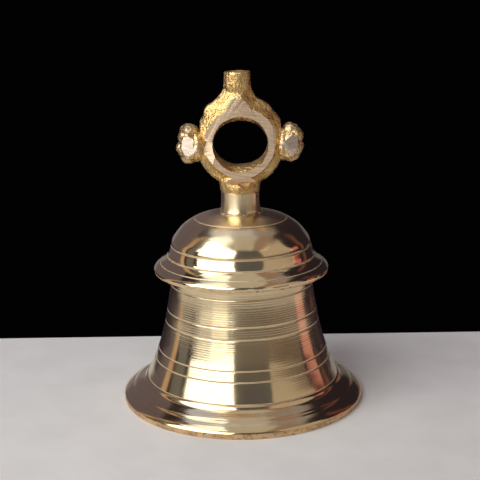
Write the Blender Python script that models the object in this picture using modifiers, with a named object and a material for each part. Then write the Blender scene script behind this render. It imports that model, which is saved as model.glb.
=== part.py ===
"""Temple bell: one turned brass casting, a cast ring hanger and an iron clapper.

Metres, +Z up. The origin is the centre of the mouth, on the plane that the rim stands on.
Profiles are (radius, height) pairs in millimetres and are scaled once, where they are turned.
"""

import math

import bmesh
import bpy
from mathutils import Matrix

MM = 0.001
GAP = 0.3  # mm, left between pieces that touch
TURNED_STEPS = 48
SMALL_STEPS = 24
SHARP_ANGLE = math.radians(32)

# Bell casting, mm
MOUTH_RADIUS = 70.0
RIM_INNER_RADIUS = 64.2
RIM_EDGE_HEIGHT = 3.2
FLANGE_RADIUS = 50.3
FLANGE_BOTTOM = 75.6
FLANGE_TOP = 77.6
DOME_FOOT = (42.2, 86.0)
CROWN_SEAT_RADIUS = 12.8
CROWN_TOP = 109.2
CROWN_INNER = 103.2
CROWN_HOLE_RADIUS = 4.3
GROOVE_DEPTH = 0.35
GROOVE_HALF_WIDTH = 0.45
WAIST_GROOVES = (53.6, 46.8, 30.6, 24.9)

# Hanger casting, mm
EYE_HEIGHT = 149.0
EYE_OFFSET = 0.5
EYE_HOLE_RADIUS = 16.3
EYE_HOLE_WAIST_RADIUS = 14.4
EYE_HOLE_STRETCH = (1.07, 1.0, 0.93)
RING_RADIUS = 26.4
RING_DEPTH = 17.0
RING_CHAMFER = 4.4
ROSETTE_SEAT = 22.5
NECK_WIDTH = 16.0
NECK_HEIGHT = 179.0
SHOULDER_ANGLE = math.radians(44)
SPIGOT_TOP = 189.3
STEM_FOOT_RADIUS = 11.8
STEM_WAIST_RADIUS = 11.0
STEM_BORE_TOP = 124.0

# Rosettes, mm
ROSETTE_REACH = 35.2
ROSETTE_HALF_HEIGHT = 12.1
ROSETTE_HALF_DEPTH = 6.6
BOSS_SIZE = (4.3, 2.6, 6.6)

# Crown fastening, mm
BOLT_RADIUS = 4.0
WASHER_RADIUS = 9.5
WASHER_THICKNESS = 1.4
NUT_ACROSS_FLATS = 13.0
NUT_THICKNESS = 6.3
BOLT_EYE_RADIUS = 6.5
BOLT_EYE_WIRE = 2.0
BOLT_EYE_HEIGHT = 86.0

# Clapper, mm
LINK_RADIUS = 6.5
LINK_WIRE = 1.75
ROD_EYE_RADIUS = 5.3
ROD_EYE_WIRE = 2.0
ROD_RADIUS = 2.5
ROD_SHOULDER_RADIUS = 4.2
ROD_SHOULDER_THICKNESS = 2.6
BALL_RADIUS = 13.0
BALL_HEIGHT = 20.0
BALL_FLAT = 12.4
RIVET_WASHER_RADIUS = 5.6
RIVET_WASHER_THICKNESS = 1.2
RIVET_HEAD_RADIUS = 4.0
RIVET_HEAD_THICKNESS = 2.0

# Heights that follow from the ones above, mm
WASHER_TOP = CROWN_INNER - GAP
NUT_TOP = WASHER_TOP - WASHER_THICKNESS - GAP
NUT_BOTTOM = NUT_TOP - NUT_THICKNESS
LINK_TOP_WIRE = BOLT_EYE_HEIGHT - BOLT_EYE_RADIUS + BOLT_EYE_WIRE + LINK_WIRE + GAP
LINK_HEIGHT = LINK_TOP_WIRE - LINK_RADIUS
SWING_AXIS_HEIGHT = LINK_HEIGHT - LINK_RADIUS
ROD_EYE_HEIGHT = SWING_AXIS_HEIGHT + LINK_WIRE + ROD_EYE_WIRE + GAP - ROD_EYE_RADIUS
BALL_TOP = BALL_HEIGHT + BALL_FLAT
BALL_BOTTOM = BALL_HEIGHT - BALL_FLAT
RIVET_WASHER_TOP = BALL_BOTTOM - GAP
RIVET_HEAD_TOP = RIVET_WASHER_TOP - RIVET_WASHER_THICKNESS - GAP

FINISHES = {
    "turned_brass": ((0.78, 0.62, 0.33, 1.0), 0.22, 1.0),
    "cast_brass": ((0.70, 0.52, 0.27, 1.0), 0.48, 1.0),
    "braze_metal": ((0.62, 0.48, 0.28, 1.0), 0.60, 1.0),
    "clapper_brass": ((0.66, 0.48, 0.22, 1.0), 0.38, 1.0),
    "forged_iron": ((0.16, 0.15, 0.14, 1.0), 0.62, 1.0),
    "plated_steel": ((0.52, 0.51, 0.49, 1.0), 0.40, 1.0),
}


def clear_scene():
    for item in list(bpy.data.objects):
        bpy.data.objects.remove(item, do_unlink=True)


def new_collection(name):
    collection = bpy.data.collections.new(name)
    bpy.context.scene.collection.children.link(collection)
    return collection


def finish_material(name):
    color, roughness, metallic = FINISHES[name]
    material = bpy.data.materials.get(name) or bpy.data.materials.new(name)
    material.use_nodes = True
    shader = material.node_tree.nodes["Principled BSDF"]
    shader.inputs["Base Color"].default_value = color
    shader.inputs["Roughness"].default_value = roughness
    shader.inputs["Metallic"].default_value = metallic
    return material


def add_object(name, mesh, collection, finish=None):
    item = bpy.data.objects.new(name, mesh)
    collection.objects.link(item)
    if finish:
        mesh.materials.append(finish_material(finish))
    return item


def add_part(name, mesh, finish):
    return add_object(name, mesh, PARTS, finish)


def add_tool(name, mesh):
    """A shape that another piece is joined with or cut by."""
    tool = add_object(name, mesh, TOOLS)
    tool.hide_render = True
    tool.display_type = "WIRE"
    return tool


def smooth_run(points, steps=2):
    """Points on a Catmull-Rom curve through the given ones, ends included."""
    ends = [points[0], *points, points[-1]]
    run = []
    for before, start, stop, after in zip(ends, ends[1:], ends[2:], ends[3:]):
        for step in range(steps):
            t = step / steps
            run.append(tuple(blend(a, b, c, d, t) for a, b, c, d in zip(before, start, stop, after)))
    return run + [points[-1]]


def blend(a, b, c, d, t):
    return 0.5 * (2 * b + (c - a) * t + (2 * a - 5 * b + 4 * c - d) * t**2 + (3 * b - a - 3 * c + d) * t**3)


def arc_run(center_height, radius, top_angle, bottom_angle, count):
    """Points down a round side, the angles measured up from the horizontal."""
    angles = [top_angle + (bottom_angle - top_angle) * i / count for i in range(count + 1)]
    return [(radius * math.cos(a), center_height + radius * math.sin(a)) for a in angles]


def cut_grooves(run, heights):
    """The same outer run, top to bottom, with a shallow V turned into it at each height."""
    cut = [run[0]]
    for upper, lower in zip(run, run[1:]):
        for height in heights:
            if lower[1] < height <= upper[1]:
                t = (upper[1] - height) / (upper[1] - lower[1])
                radius = upper[0] + (lower[0] - upper[0]) * t
                cut.append((radius, height + GROOVE_HALF_WIDTH))
                cut.append((radius - GROOVE_DEPTH, height))
                cut.append((radius, height - GROOVE_HALF_WIDTH))
        cut.append(lower)
    return cut


def profile_mesh(name, profile, closed):
    mesh = bpy.data.meshes.new(name)
    count = len(profile)
    edges = [(i, i + 1) for i in range(count - 1)]
    if closed:
        edges.append((count - 1, 0))
    mesh.from_pydata([(r * MM, 0.0, z * MM) for r, z in profile], edges, [])
    return mesh


def turn(item, steps):
    screw = item.modifiers.new("turned", "SCREW")
    screw.axis = "Z"
    screw.angle = 2 * math.pi
    screw.steps = steps
    screw.render_steps = steps
    screw.use_merge_vertices = True
    screw.merge_threshold = 0.00001
    screw.use_smooth_shade = True
    return item


def turned_part(name, profile, finish, closed=True, steps=TURNED_STEPS):
    return turn(add_part(name, profile_mesh(name, profile, closed), finish), steps)


def turned_tool(name, profile, closed=True, steps=TURNED_STEPS):
    return turn(add_tool(name, profile_mesh(name, profile, closed)), steps)


def smooth_by_angle(mesh):
    mesh.shade_smooth()
    mesh.set_sharp_from_angle(angle=SHARP_ANGLE)


def torus_mesh(name, ring_radius, wire_radius, center_height, hole_axis):
    """A wire ring whose hole runs along X or Y, made as a turned circle and then tipped."""
    bpy.ops.mesh.primitive_torus_add(
        major_radius=ring_radius * MM,
        minor_radius=wire_radius * MM,
        major_segments=32,
        minor_segments=12,
    )
    made = bpy.context.object
    mesh = made.data
    mesh.name = name
    bpy.data.objects.remove(made)
    tip = Matrix.Rotation(math.pi / 2, 4, "Y" if hole_axis == "X" else "X")
    mesh.transform(Matrix.Translation((0.0, 0.0, center_height * MM)) @ tip)
    smooth_by_angle(mesh)
    return mesh


def boolean(item, tool, operation):
    modifier = item.modifiers.new(tool.name, "BOOLEAN")
    modifier.operation = operation
    modifier.solver = "EXACT"
    modifier.object = tool


def waist_and_lip():
    """The outer side below the flange, top to bottom."""
    waist = smooth_run(
        [(40.9, 72.0), (41.1, 66.0), (42.2, 59.5), (43.4, 53.6), (45.9, 42.0), (48.9, 30.6), (51.6, 23.0),
         (54.9, 14.6)],
        steps=1,
    )
    lip = smooth_run([(63.4, 7.9), (66.8, 5.7), (69.3, 4.2), (MOUTH_RADIUS, RIM_EDGE_HEIGHT)])
    step_line = [(56.0, 13.6), (57.2, 12.0), (60.4, 10.0), (62.9, 8.7), (62.9, 8.2)]
    return cut_grooves(waist, WAIST_GROOVES) + step_line + lip + [(MOUTH_RADIUS, 0.0)]


def dome_and_flange():
    """The outer side from the crown hole to the underside of the flange, top to bottom."""
    dome = smooth_run(
        [(CROWN_SEAT_RADIUS, CROWN_TOP), (19.5, 108.2), (26.4, 106.1), (33.8, 101.5), (38.3, 95.2),
         (40.6, 89.6), DOME_FOOT]
    )
    flange = smooth_run([(42.8, 84.9), (44.9, 82.6), (47.6, 80.2), (49.6, 78.6), (FLANGE_RADIUS, FLANGE_TOP)],
                        steps=1)
    return [(CROWN_HOLE_RADIUS, CROWN_TOP), *dome, *flange, (FLANGE_RADIUS, FLANGE_BOTTOM), (42.6, 74.9)]


def bell_inside():
    """The cast inner wall, from the mouth up to the crown hole."""
    wall = smooth_run(
        [(RIM_INNER_RADIUS, 0.0), (57.6, 4.8), (52.4, 12.0), (47.3, 24.0), (42.9, 38.0), (39.3, 53.0),
         (37.3, 66.0), (37.0, 78.0), (36.2, 88.0), (32.2, 96.0), (24.0, 101.0), (14.0, CROWN_INNER)],
        steps=1,
    )
    return wall + [(CROWN_HOLE_RADIUS, CROWN_INNER)]


def make_bell_casting():
    outside = dome_and_flange() + waist_and_lip()
    turned_part("bell_casting", outside + bell_inside(), "turned_brass")


def ring_outline():
    """The hanger's outline, counter-clockwise: round, with a flat seat each side, rising into the neck."""
    left_shoulder = math.pi - SHOULDER_ANGLE
    sweep = 2 * math.pi - (left_shoulder - SHOULDER_ANGLE)
    outline = []
    for step in range(41):
        angle = left_shoulder + sweep * step / 40
        reach = min(RING_RADIUS, ROSETTE_SEAT / max(abs(math.cos(angle)), 0.01))
        outline.append((EYE_OFFSET + reach * math.cos(angle), EYE_HEIGHT + reach * math.sin(angle)))
    neck = [(NECK_WIDTH / 2 + 1.5, NECK_HEIGHT - 3.5), (NECK_WIDTH / 2, NECK_HEIGHT)]
    return outline + neck + [(-x, z) for x, z in reversed(neck)]


def add_outline(curve, points):
    spline = curve.splines.new("POLY")
    spline.points.add(len(points) - 1)
    for point, (x, z) in zip(spline.points, points):
        point.co = (x * MM, z * MM, 0.0, 1.0)
    spline.use_cyclic_u = True


def ring_mesh():
    """The filled outline, as thick as the ring, with its edges chamfered."""
    curve = bpy.data.curves.new("ring_outline", "CURVE")
    curve.dimensions = "2D"
    curve.fill_mode = "BOTH"
    curve.bevel_depth = RING_CHAMFER * MM
    curve.bevel_resolution = 2
    curve.extrude = (RING_DEPTH / 2 - RING_CHAMFER) * MM
    curve.offset = -RING_CHAMFER * MM
    add_outline(curve, ring_outline())
    guide = bpy.data.objects.new("ring_outline", curve)
    TOOLS.objects.link(guide)
    guide.rotation_euler = (math.pi / 2, 0.0, 0.0)
    bpy.context.view_layer.update()
    mesh = bpy.data.meshes.new_from_object(guide.evaluated_get(bpy.context.evaluated_depsgraph_get()))
    mesh.transform(guide.matrix_world)
    bpy.data.objects.remove(guide)
    weld(mesh)
    return mesh


def weld(mesh):
    shape = bmesh.new()
    shape.from_mesh(mesh)
    bmesh.ops.remove_doubles(shape, verts=shape.verts, dist=0.00001)
    bmesh.ops.recalc_face_normals(shape, faces=shape.faces)
    shape.to_mesh(mesh)
    shape.free()


def add_eye_hole():
    """The hole's tool: its axis along Y, narrowest at mid-depth, and a little wider than it is tall."""
    depth = RING_DEPTH / 2
    wall = [(EYE_HOLE_RADIUS, depth), (EYE_HOLE_WAIST_RADIUS + 0.5, 4.0), (EYE_HOLE_WAIST_RADIUS, 0.0),
            (EYE_HOLE_WAIST_RADIUS + 0.5, -4.0), (EYE_HOLE_RADIUS, -depth)]
    ends = [(0.0, depth + 1.0), (EYE_HOLE_RADIUS, depth + 1.0)]
    profile = ends + wall + [(r, -z) for r, z in reversed(ends)]
    tool = turned_tool("eye_hole", profile, closed=False, steps=36)
    tool.rotation_euler = (math.pi / 2, 0.0, 0.0)
    width, depth_scale, height = EYE_HOLE_STRETCH
    tool.scale = (width, height, depth_scale)
    tool.location = (EYE_OFFSET * MM, 0.0, EYE_HEIGHT * MM)
    return tool


def make_hanger_casting():
    hanger = add_part("hanger_casting", ring_mesh(), "cast_brass")
    boolean(hanger, add_eye_hole(), "DIFFERENCE")
    foot = CROWN_TOP + GAP
    stem = [(0.0, 131.0), (7.5, 130.4), (10.4, 128.4), (11.3, 126.2), (STEM_WAIST_RADIUS, 119.0),
            (11.2, 114.0), (STEM_FOOT_RADIUS, foot + 1.2), (STEM_FOOT_RADIUS, foot), (0.0, foot)]
    spigot = [(0.0, SPIGOT_TOP), (7.4, SPIGOT_TOP), (7.9, SPIGOT_TOP - 0.6), (7.8, NECK_HEIGHT),
              (8.4, NECK_HEIGHT - 6.0), (0.0, NECK_HEIGHT - 9.0)]
    bore = [(0.0, STEM_BORE_TOP), (CROWN_HOLE_RADIUS, STEM_BORE_TOP), (CROWN_HOLE_RADIUS, foot - 2.0),
            (0.0, foot - 2.0)]
    boolean(hanger, turned_tool("stem", stem, closed=False, steps=48), "UNION")
    boolean(hanger, turned_tool("spigot", spigot, closed=False, steps=SMALL_STEPS), "UNION")
    boolean(hanger, turned_tool("stem_bore", bore, closed=False, steps=SMALL_STEPS), "DIFFERENCE")


def ellipsoid_mesh(name, center, half_sizes, segments, rings):
    shape = bmesh.new()
    bmesh.ops.create_uvsphere(shape, u_segments=segments, v_segments=rings, radius=1.0)
    mesh = bpy.data.meshes.new(name)
    shape.to_mesh(mesh)
    shape.free()
    sizes = [half * MM for half in half_sizes]
    place = Matrix.Translation([c * MM for c in center])
    mesh.transform(place @ Matrix.Diagonal((*sizes, 1.0)))
    smooth_by_angle(mesh)
    return mesh


def box_mesh(name, low, high):
    shape = bmesh.new()
    bmesh.ops.create_cube(shape, size=1.0)
    mesh = bpy.data.meshes.new(name)
    shape.to_mesh(mesh)
    shape.free()
    sizes = [(b - a) * MM for a, b in zip(low, high)]
    middle = [(a + b) / 2 * MM for a, b in zip(low, high)]
    mesh.transform(Matrix.Translation(middle) @ Matrix.Diagonal((*sizes, 1.0)))
    return mesh


def make_rosette(name, side):
    """A lobed knob with an oval boss on each face, seated on the ring's flat on one side."""
    seat = EYE_OFFSET + side * (ROSETTE_SEAT + GAP)
    tip = side * ROSETTE_REACH
    half_width = abs(tip - seat) / 2 + 1.5
    middle = tip - side * half_width
    body = ellipsoid_mesh(name, (middle, 0.0, EYE_HEIGHT),
                          (half_width, ROSETTE_HALF_DEPTH, ROSETTE_HALF_HEIGHT), 28, 18)
    rosette = add_part(name, body, "cast_brass")
    boss_reach = ROSETTE_HALF_DEPTH - 1.0
    for face in (-1, 1):
        center = (middle + side * 0.6, face * boss_reach, EYE_HEIGHT - 1.0)
        boss = ellipsoid_mesh(f"{name}_boss", center, BOSS_SIZE, 16, 12)
        boolean(rosette, add_tool(f"{name}_boss_{face}", boss), "UNION")
    inner = sorted((seat, seat - side * 12.0))
    seat_cut = box_mesh("seat", (inner[0], -20.0, EYE_HEIGHT - 20.0), (inner[1], 20.0, EYE_HEIGHT + 20.0))
    boolean(rosette, add_tool(f"{name}_seat", seat_cut), "DIFFERENCE")


def make_foot_braze():
    """The run of filler metal round the stem's foot."""
    inner = STEM_FOOT_RADIUS + GAP
    foot = CROWN_TOP + GAP
    section = [(inner, foot + 1.7), (inner + 0.7, foot + 1.5), (inner + 1.8, foot + 0.6), (inner + 2.2, foot),
               (inner, foot)]
    turned_part("foot_braze", section, "braze_metal", steps=32)


def make_eye_bolt():
    """The iron bolt through the crown, screwed up into the stem, with a closed eye below."""
    top = STEM_BORE_TOP - 1.0
    eye_top = BOLT_EYE_HEIGHT + BOLT_EYE_RADIUS
    shank = [(0.0, top), (BOLT_RADIUS - 0.7, top), (BOLT_RADIUS, top - 0.7), (BOLT_RADIUS, NUT_BOTTOM),
             (BOLT_RADIUS - 1.2, eye_top), (0.0, eye_top - 0.8)]
    bolt = turned_part("eye_bolt", shank, "forged_iron", closed=False, steps=SMALL_STEPS)
    eye = torus_mesh("bolt_eye", BOLT_EYE_RADIUS, BOLT_EYE_WIRE, BOLT_EYE_HEIGHT, "Y")
    boolean(bolt, add_tool("bolt_eye", eye), "UNION")


def make_crown_washer():
    bore = BOLT_RADIUS + GAP
    low = WASHER_TOP - WASHER_THICKNESS
    section = [(bore, WASHER_TOP), (WASHER_RADIUS - 0.2, WASHER_TOP), (WASHER_RADIUS, WASHER_TOP - 0.2),
               (WASHER_RADIUS, low), (bore, low)]
    turned_part("crown_washer", section, "plated_steel", steps=32)


def make_crown_nut():
    """A hexagon nut, its corners turned off at both ends."""
    corner = NUT_ACROSS_FLATS / math.sqrt(3)
    shape = bmesh.new()
    bmesh.ops.create_cone(shape, cap_ends=True, segments=6, radius1=corner * MM, radius2=corner * MM,
                          depth=NUT_THICKNESS * MM)
    mesh = bpy.data.meshes.new("crown_nut")
    shape.to_mesh(mesh)
    shape.free()
    mesh.transform(Matrix.Translation((0.0, 0.0, (NUT_TOP + NUT_BOTTOM) / 2 * MM)))
    nut = add_part("crown_nut", mesh, "plated_steel")
    flat = NUT_ACROSS_FLATS / 2
    corners_off = [(0.0, NUT_TOP + 0.5), (flat - 0.9, NUT_TOP + 0.5), (corner + 0.3, NUT_TOP - 1.0),
                   (corner + 0.3, NUT_BOTTOM + 1.0), (flat - 0.9, NUT_BOTTOM - 0.5), (0.0, NUT_BOTTOM - 0.5)]
    bore_radius = BOLT_RADIUS + GAP
    bore = [(0.0, NUT_TOP + 2.0), (bore_radius, NUT_TOP + 2.0), (bore_radius, NUT_BOTTOM - 2.0),
            (0.0, NUT_BOTTOM - 2.0)]
    boolean(nut, turned_tool("nut_corners", corners_off, closed=False, steps=48), "INTERSECT")
    boolean(nut, turned_tool("nut_bore", bore, closed=False, steps=SMALL_STEPS), "DIFFERENCE")


def make_clapper_link():
    link = torus_mesh("clapper_link", LINK_RADIUS, LINK_WIRE, LINK_HEIGHT, "X")
    add_part("clapper_link", link, "forged_iron")


def make_clapper_rod():
    """The iron rod: an eye on the link, a shoulder on the ball, and a riveted end below."""
    eye_bottom = ROD_EYE_HEIGHT - ROD_EYE_RADIUS
    shoulder_bottom = BALL_TOP + GAP
    shoulder_top = shoulder_bottom + ROD_SHOULDER_THICKNESS
    shank = [(0.0, eye_bottom + 0.8), (ROD_RADIUS, eye_bottom - 0.8), (ROD_RADIUS, shoulder_top + 0.8),
             (ROD_SHOULDER_RADIUS, shoulder_top - 0.4), (ROD_SHOULDER_RADIUS, shoulder_bottom),
             (ROD_RADIUS, shoulder_bottom), (ROD_RADIUS, RIVET_HEAD_TOP), (RIVET_HEAD_RADIUS, RIVET_HEAD_TOP),
             (RIVET_HEAD_RADIUS - 0.5, RIVET_HEAD_TOP - 1.1), (2.0, RIVET_HEAD_TOP - 1.8),
             (0.0, RIVET_HEAD_TOP - RIVET_HEAD_THICKNESS)]
    rod = turned_part("clapper_rod", shank, "forged_iron", closed=False, steps=SMALL_STEPS)
    eye = torus_mesh("rod_eye", ROD_EYE_RADIUS, ROD_EYE_WIRE, ROD_EYE_HEIGHT, "Y")
    boolean(rod, add_tool("rod_eye", eye), "UNION")


def make_clapper_ball():
    flat_angle = math.asin(BALL_FLAT / BALL_RADIUS)
    bore = ROD_RADIUS + GAP
    side = arc_run(BALL_HEIGHT, BALL_RADIUS, flat_angle, -flat_angle, 14)
    section = [(bore, BALL_TOP), *side, (bore, BALL_BOTTOM)]
    turned_part("clapper_ball", section, "clapper_brass", steps=32)


def make_rivet_washer():
    bore = ROD_RADIUS + GAP
    low = RIVET_WASHER_TOP - RIVET_WASHER_THICKNESS
    section = [(bore, RIVET_WASHER_TOP), (RIVET_WASHER_RADIUS, RIVET_WASHER_TOP), (RIVET_WASHER_RADIUS, low),
               (bore, low)]
    turned_part("rivet_washer", section, "forged_iron", steps=SMALL_STEPS)


clear_scene()
PARTS = new_collection("temple_bell")
TOOLS = new_collection("temple_bell_tools")
make_bell_casting()
make_hanger_casting()
make_rosette("rosette_left", -1)
make_rosette("rosette_right", 1)
make_foot_braze()
make_eye_bolt()
make_crown_washer()
make_crown_nut()
make_clapper_link()
make_clapper_rod()
make_clapper_ball()
make_rivet_washer()
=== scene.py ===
"""A brass temple bell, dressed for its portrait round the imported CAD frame.

Metres, +Z up. The origin is the centre of the mouth, on the plane that the rim stands on. The
pieces' sizes and their (radius, height) profiles are in millimetres, scaled once where a mesh is
made. What a noise or a finish does to a surface is in metres, as Blender takes it.
"""

from __future__ import annotations

import logging
import math
from collections.abc import Callable, Iterator, Sequence
from contextlib import contextmanager
from dataclasses import dataclass, field
from enum import Enum, IntEnum
from typing import Protocol

import bmesh
import bpy
from mathutils import Matrix, Vector

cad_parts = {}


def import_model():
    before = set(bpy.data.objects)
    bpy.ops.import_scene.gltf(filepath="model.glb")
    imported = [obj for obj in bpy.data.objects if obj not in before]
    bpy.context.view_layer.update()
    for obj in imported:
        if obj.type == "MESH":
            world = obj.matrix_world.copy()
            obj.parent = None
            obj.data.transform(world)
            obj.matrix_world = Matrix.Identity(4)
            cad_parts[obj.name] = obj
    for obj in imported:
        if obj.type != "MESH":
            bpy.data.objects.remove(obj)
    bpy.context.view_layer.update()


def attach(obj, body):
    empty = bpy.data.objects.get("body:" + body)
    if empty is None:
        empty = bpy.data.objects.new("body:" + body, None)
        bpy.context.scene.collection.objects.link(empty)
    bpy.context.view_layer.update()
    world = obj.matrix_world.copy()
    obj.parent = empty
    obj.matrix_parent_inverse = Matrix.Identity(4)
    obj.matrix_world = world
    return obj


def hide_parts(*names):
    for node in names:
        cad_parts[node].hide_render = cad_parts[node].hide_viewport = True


LOG = logging.getLogger("temple_bell")
MM = 0.001
FULL_TURN = 2 * math.pi
MERGE_DISTANCE = 2e-6  # metres, far under the finest detail
BORE_RADIUS = 4.3  # millimetres: the bolt's radius and its clearance
NO_LIMIT = math.inf
MIDDLE_GREYS = (0.35, 0.65)  # where most of a noise's values lie

Point = tuple[float, float]
Triple = tuple[float, float, float]
Colour = tuple[float, float, float]


class Body(Enum):
    """The rigid bodies of the frame that pieces ride on."""

    BELL = "bell"
    LINK = "link"
    CLAPPER = "clapper"


class Slot(Enum):
    """The record's material slots."""

    TURNED_BRASS = "turned_brass"
    CAST_BRASS = "cast_brass"
    BRAZE_METAL = "braze_metal"
    CLAPPER_BRASS = "clapper_brass"
    FORGED_IRON = "forged_iron"
    PLATED_STEEL = "plated_steel"


# --- Bench work: selecting, turning, joining and filing ---


def lay_down_all() -> None:
    """Deselects every object, in object mode."""
    if bpy.context.object and bpy.context.object.mode != "OBJECT":
        bpy.ops.object.mode_set(mode="OBJECT")
    bpy.ops.object.select_all(action="DESELECT")


def pick_up(item: bpy.types.Object) -> bpy.types.Object:
    """Makes one object the only selected one, and the active one.

    Args:
        item: The object to work on.

    Returns:
        The same object.
    """
    lay_down_all()
    item.select_set(True)
    bpy.context.view_layer.objects.active = item
    return item


@contextmanager
def edit_mode(item: bpy.types.Object) -> Iterator[None]:
    """Holds an object in edit mode, with everything selected to begin with.

    Args:
        item: The mesh object to edit.

    Yields:
        Nothing. Object mode is back when the block ends.
    """
    pick_up(item)
    bpy.ops.object.mode_set(mode="EDIT")
    bpy.context.tool_settings.mesh_select_mode = (True, False, False)
    bpy.ops.mesh.select_all(action="SELECT")
    yield
    bpy.ops.object.mode_set(mode="OBJECT")


def pick_verts(item: bpy.types.Object, wanted: Callable[[Vector], bool]) -> int:
    """Selects, in edit mode, the vertices that a test accepts.

    Args:
        item: The mesh object, in edit mode.
        wanted: Says of a vertex's place whether it is selected.

    Returns:
        How many vertices are selected.
    """
    bpy.ops.mesh.select_all(action="DESELECT")
    shape = bmesh.from_edit_mesh(item.data)
    for vert in shape.verts:
        vert.select = wanted(vert.co)
    shape.select_flush_mode()
    bmesh.update_edit_mesh(item.data)
    return sum(vert.select for vert in shape.verts)


def tidy_surface(item: bpy.types.Object) -> None:
    """Merges doubled vertices and turns every face outwards.

    Args:
        item: The mesh object.
    """
    with edit_mode(item):
        bpy.ops.mesh.remove_doubles(threshold=MERGE_DISTANCE)
        bpy.ops.mesh.normals_make_consistent(inside=False)


def named(item: bpy.types.Object, name: str) -> bpy.types.Object:
    """Gives an object and its mesh one name, and gives the object back."""
    item.name = item.data.name = name
    return item


def shade(item: bpy.types.Object, angle: float = 34.0) -> None:
    """Shades an object smooth but for the edges sharper than an angle, in degrees."""
    pick_up(item)
    bpy.ops.object.shade_smooth_by_angle(angle=math.radians(angle))


def apply_modifiers(item: bpy.types.Object) -> None:
    """Applies every modifier of an object, first to last.

    Args:
        item: The object.
    """
    pick_up(item)
    for modifier in list(item.modifiers):
        bpy.ops.object.modifier_apply(modifier=modifier.name)


def settle(item: bpy.types.Object) -> None:
    """Moves an object's place, turn and size into its mesh."""
    pick_up(item)
    bpy.ops.object.transform_apply(location=True, rotation=True, scale=True)


def extrude_along(route: Sequence[Vector]) -> None:
    """Extrudes what is selected from each point of a route to the next, in edit mode."""
    for start, stop in zip(route, route[1:]):
        bpy.ops.mesh.extrude_region_move(TRANSFORM_OT_translate={"value": stop - start})


def taper(item: bpy.types.Object, shares: Sequence[Point]) -> None:
    """Thins an object front to back above each of several levels, in edit mode.

    Args:
        item: The mesh object, in edit mode.
        shares: Each level, in millimetres, and the share of the depth that is left above it.
    """
    for level, share in shares:
        pick_verts(item, lambda place, level=level: place.z > level * MM)
        bpy.ops.transform.resize(value=(1.0, share, 1.0), center_override=(0, 0, 0))


def spun(
    name: str,
    path: Sequence[Vector],
    steps: int,
    center: Vector | None = None,
    axis: Vector | None = None,
    closed: bool = True,
) -> bpy.types.Object:
    """Extrudes a line from point to point and spins it a full turn.

    Args:
        name: The new object's name.
        path: The section's points, in metres.
        steps: The number of steps in the turn.
        center: A point on the axis; the origin if left out.
        axis: The axis; +Z if left out.
        closed: Whether the section closes on itself, as a wall's does.

    Returns:
        The turned object, closed and facing outwards.
    """
    lay_down_all()
    bpy.ops.mesh.primitive_plane_add(size=MM, location=path[0])
    item = named(bpy.context.object, name)
    settle(item)
    with edit_mode(item):
        bpy.ops.mesh.merge(type="CENTER")
        extrude_along([*path, path[0]] if closed else path)
        bpy.ops.mesh.select_all(action="SELECT")
        bpy.ops.mesh.remove_doubles(threshold=MERGE_DISTANCE)
        bpy.ops.mesh.select_all(action="SELECT")
        bpy.ops.mesh.spin(
            steps=steps,
            angle=FULL_TURN,
            center=center or Vector(),
            axis=axis or Vector((0, 0, 1)),
        )
    tidy_surface(item)
    return item


def turned(
    name: str, profile: Sequence[Point], steps: int = 64, closed: bool = True
) -> bpy.types.Object:
    """Turns a (radius, height) profile in millimetres about the bell's own axis."""
    return spun(name, [Vector((r * MM, 0.0, z * MM)) for r, z in profile], steps, closed=closed)


def joined(name: str, pieces: Sequence[bpy.types.Object]) -> bpy.types.Object:
    """Makes several objects one object.

    Args:
        name: The name of the joined object.
        pieces: The objects, of which the first keeps its data.

    Returns:
        The joined object.
    """
    pick_up(pieces[0])
    for piece in pieces[1:]:
        piece.select_set(True)
    bpy.ops.object.join()
    return named(bpy.context.object, name)


def cut_away(item: bpy.types.Object, tool: bpy.types.Object) -> None:
    """Takes a tool's shape off an object and throws the tool away.

    Args:
        item: The object that is cut.
        tool: The closed shape of what goes.
    """
    cut = item.modifiers.new("cut_away", "BOOLEAN")
    cut.operation = "DIFFERENCE"
    cut.solver = "EXACT"
    cut.object = tool
    apply_modifiers(item)
    bpy.data.objects.remove(tool)


def cast_together(item: bpy.types.Object, grain: float, softening: int) -> None:
    """Runs overlapping lumps into one skin, as metal fills a mould.

    Args:
        item: The object that holds the lumps.
        grain: The size of the skin's faces, in metres.
        softening: How many times the skin is smoothed.
    """
    remesh = item.modifiers.new("one_skin", "REMESH")
    remesh.mode = "VOXEL"
    remesh.voxel_size = grain
    remesh.use_smooth_shade = True
    smooth = item.modifiers.new("softened", "SMOOTH")
    smooth.factor = 0.5
    smooth.iterations = softening
    apply_modifiers(item)


def roughen(item: bpy.types.Object, grain: float, depth: float, group: str = "") -> None:
    """Pushes a skin in and out with a solid noise.

    Args:
        item: The object to roughen.
        grain: The size of the lumps, in metres.
        depth: How far the skin moves in all, in metres.
        group: The vertex group that says where, or nothing for all over.
    """
    texture = bpy.data.textures.new(f"{item.name}_clouds", "CLOUDS")
    texture.noise_scale = grain
    displace = item.modifiers.new("roughened", "DISPLACE")
    displace.texture = texture
    displace.texture_coords = "LOCAL"
    displace.strength = depth
    displace.mid_level = 0.5
    displace.vertex_group = group
    apply_modifiers(item)


def mark_verts(item: bpy.types.Object, name: str, wanted: Callable[[Vector], bool]) -> None:
    """Puts the vertices that a test accepts into a vertex group."""
    group = item.vertex_groups.new(name=name)
    group.add([v.index for v in item.data.vertices if wanted(v.co)], 1.0, "REPLACE")


def paint_faces(item: bpy.types.Object, finishes: Sequence[Finish], chosen: Callable[..., int]) -> None:
    """Gives each face one of several finishes.

    Args:
        item: The object.
        finishes: The finishes, in the order of their numbers.
        chosen: Says of a face's centre and normal which finish it takes.
    """
    item.data.materials.clear()
    for finish in finishes:
        item.data.materials.append(finish.build())
    for polygon in item.data.polygons:
        polygon.material_index = chosen(polygon.center, polygon.normal)


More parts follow.
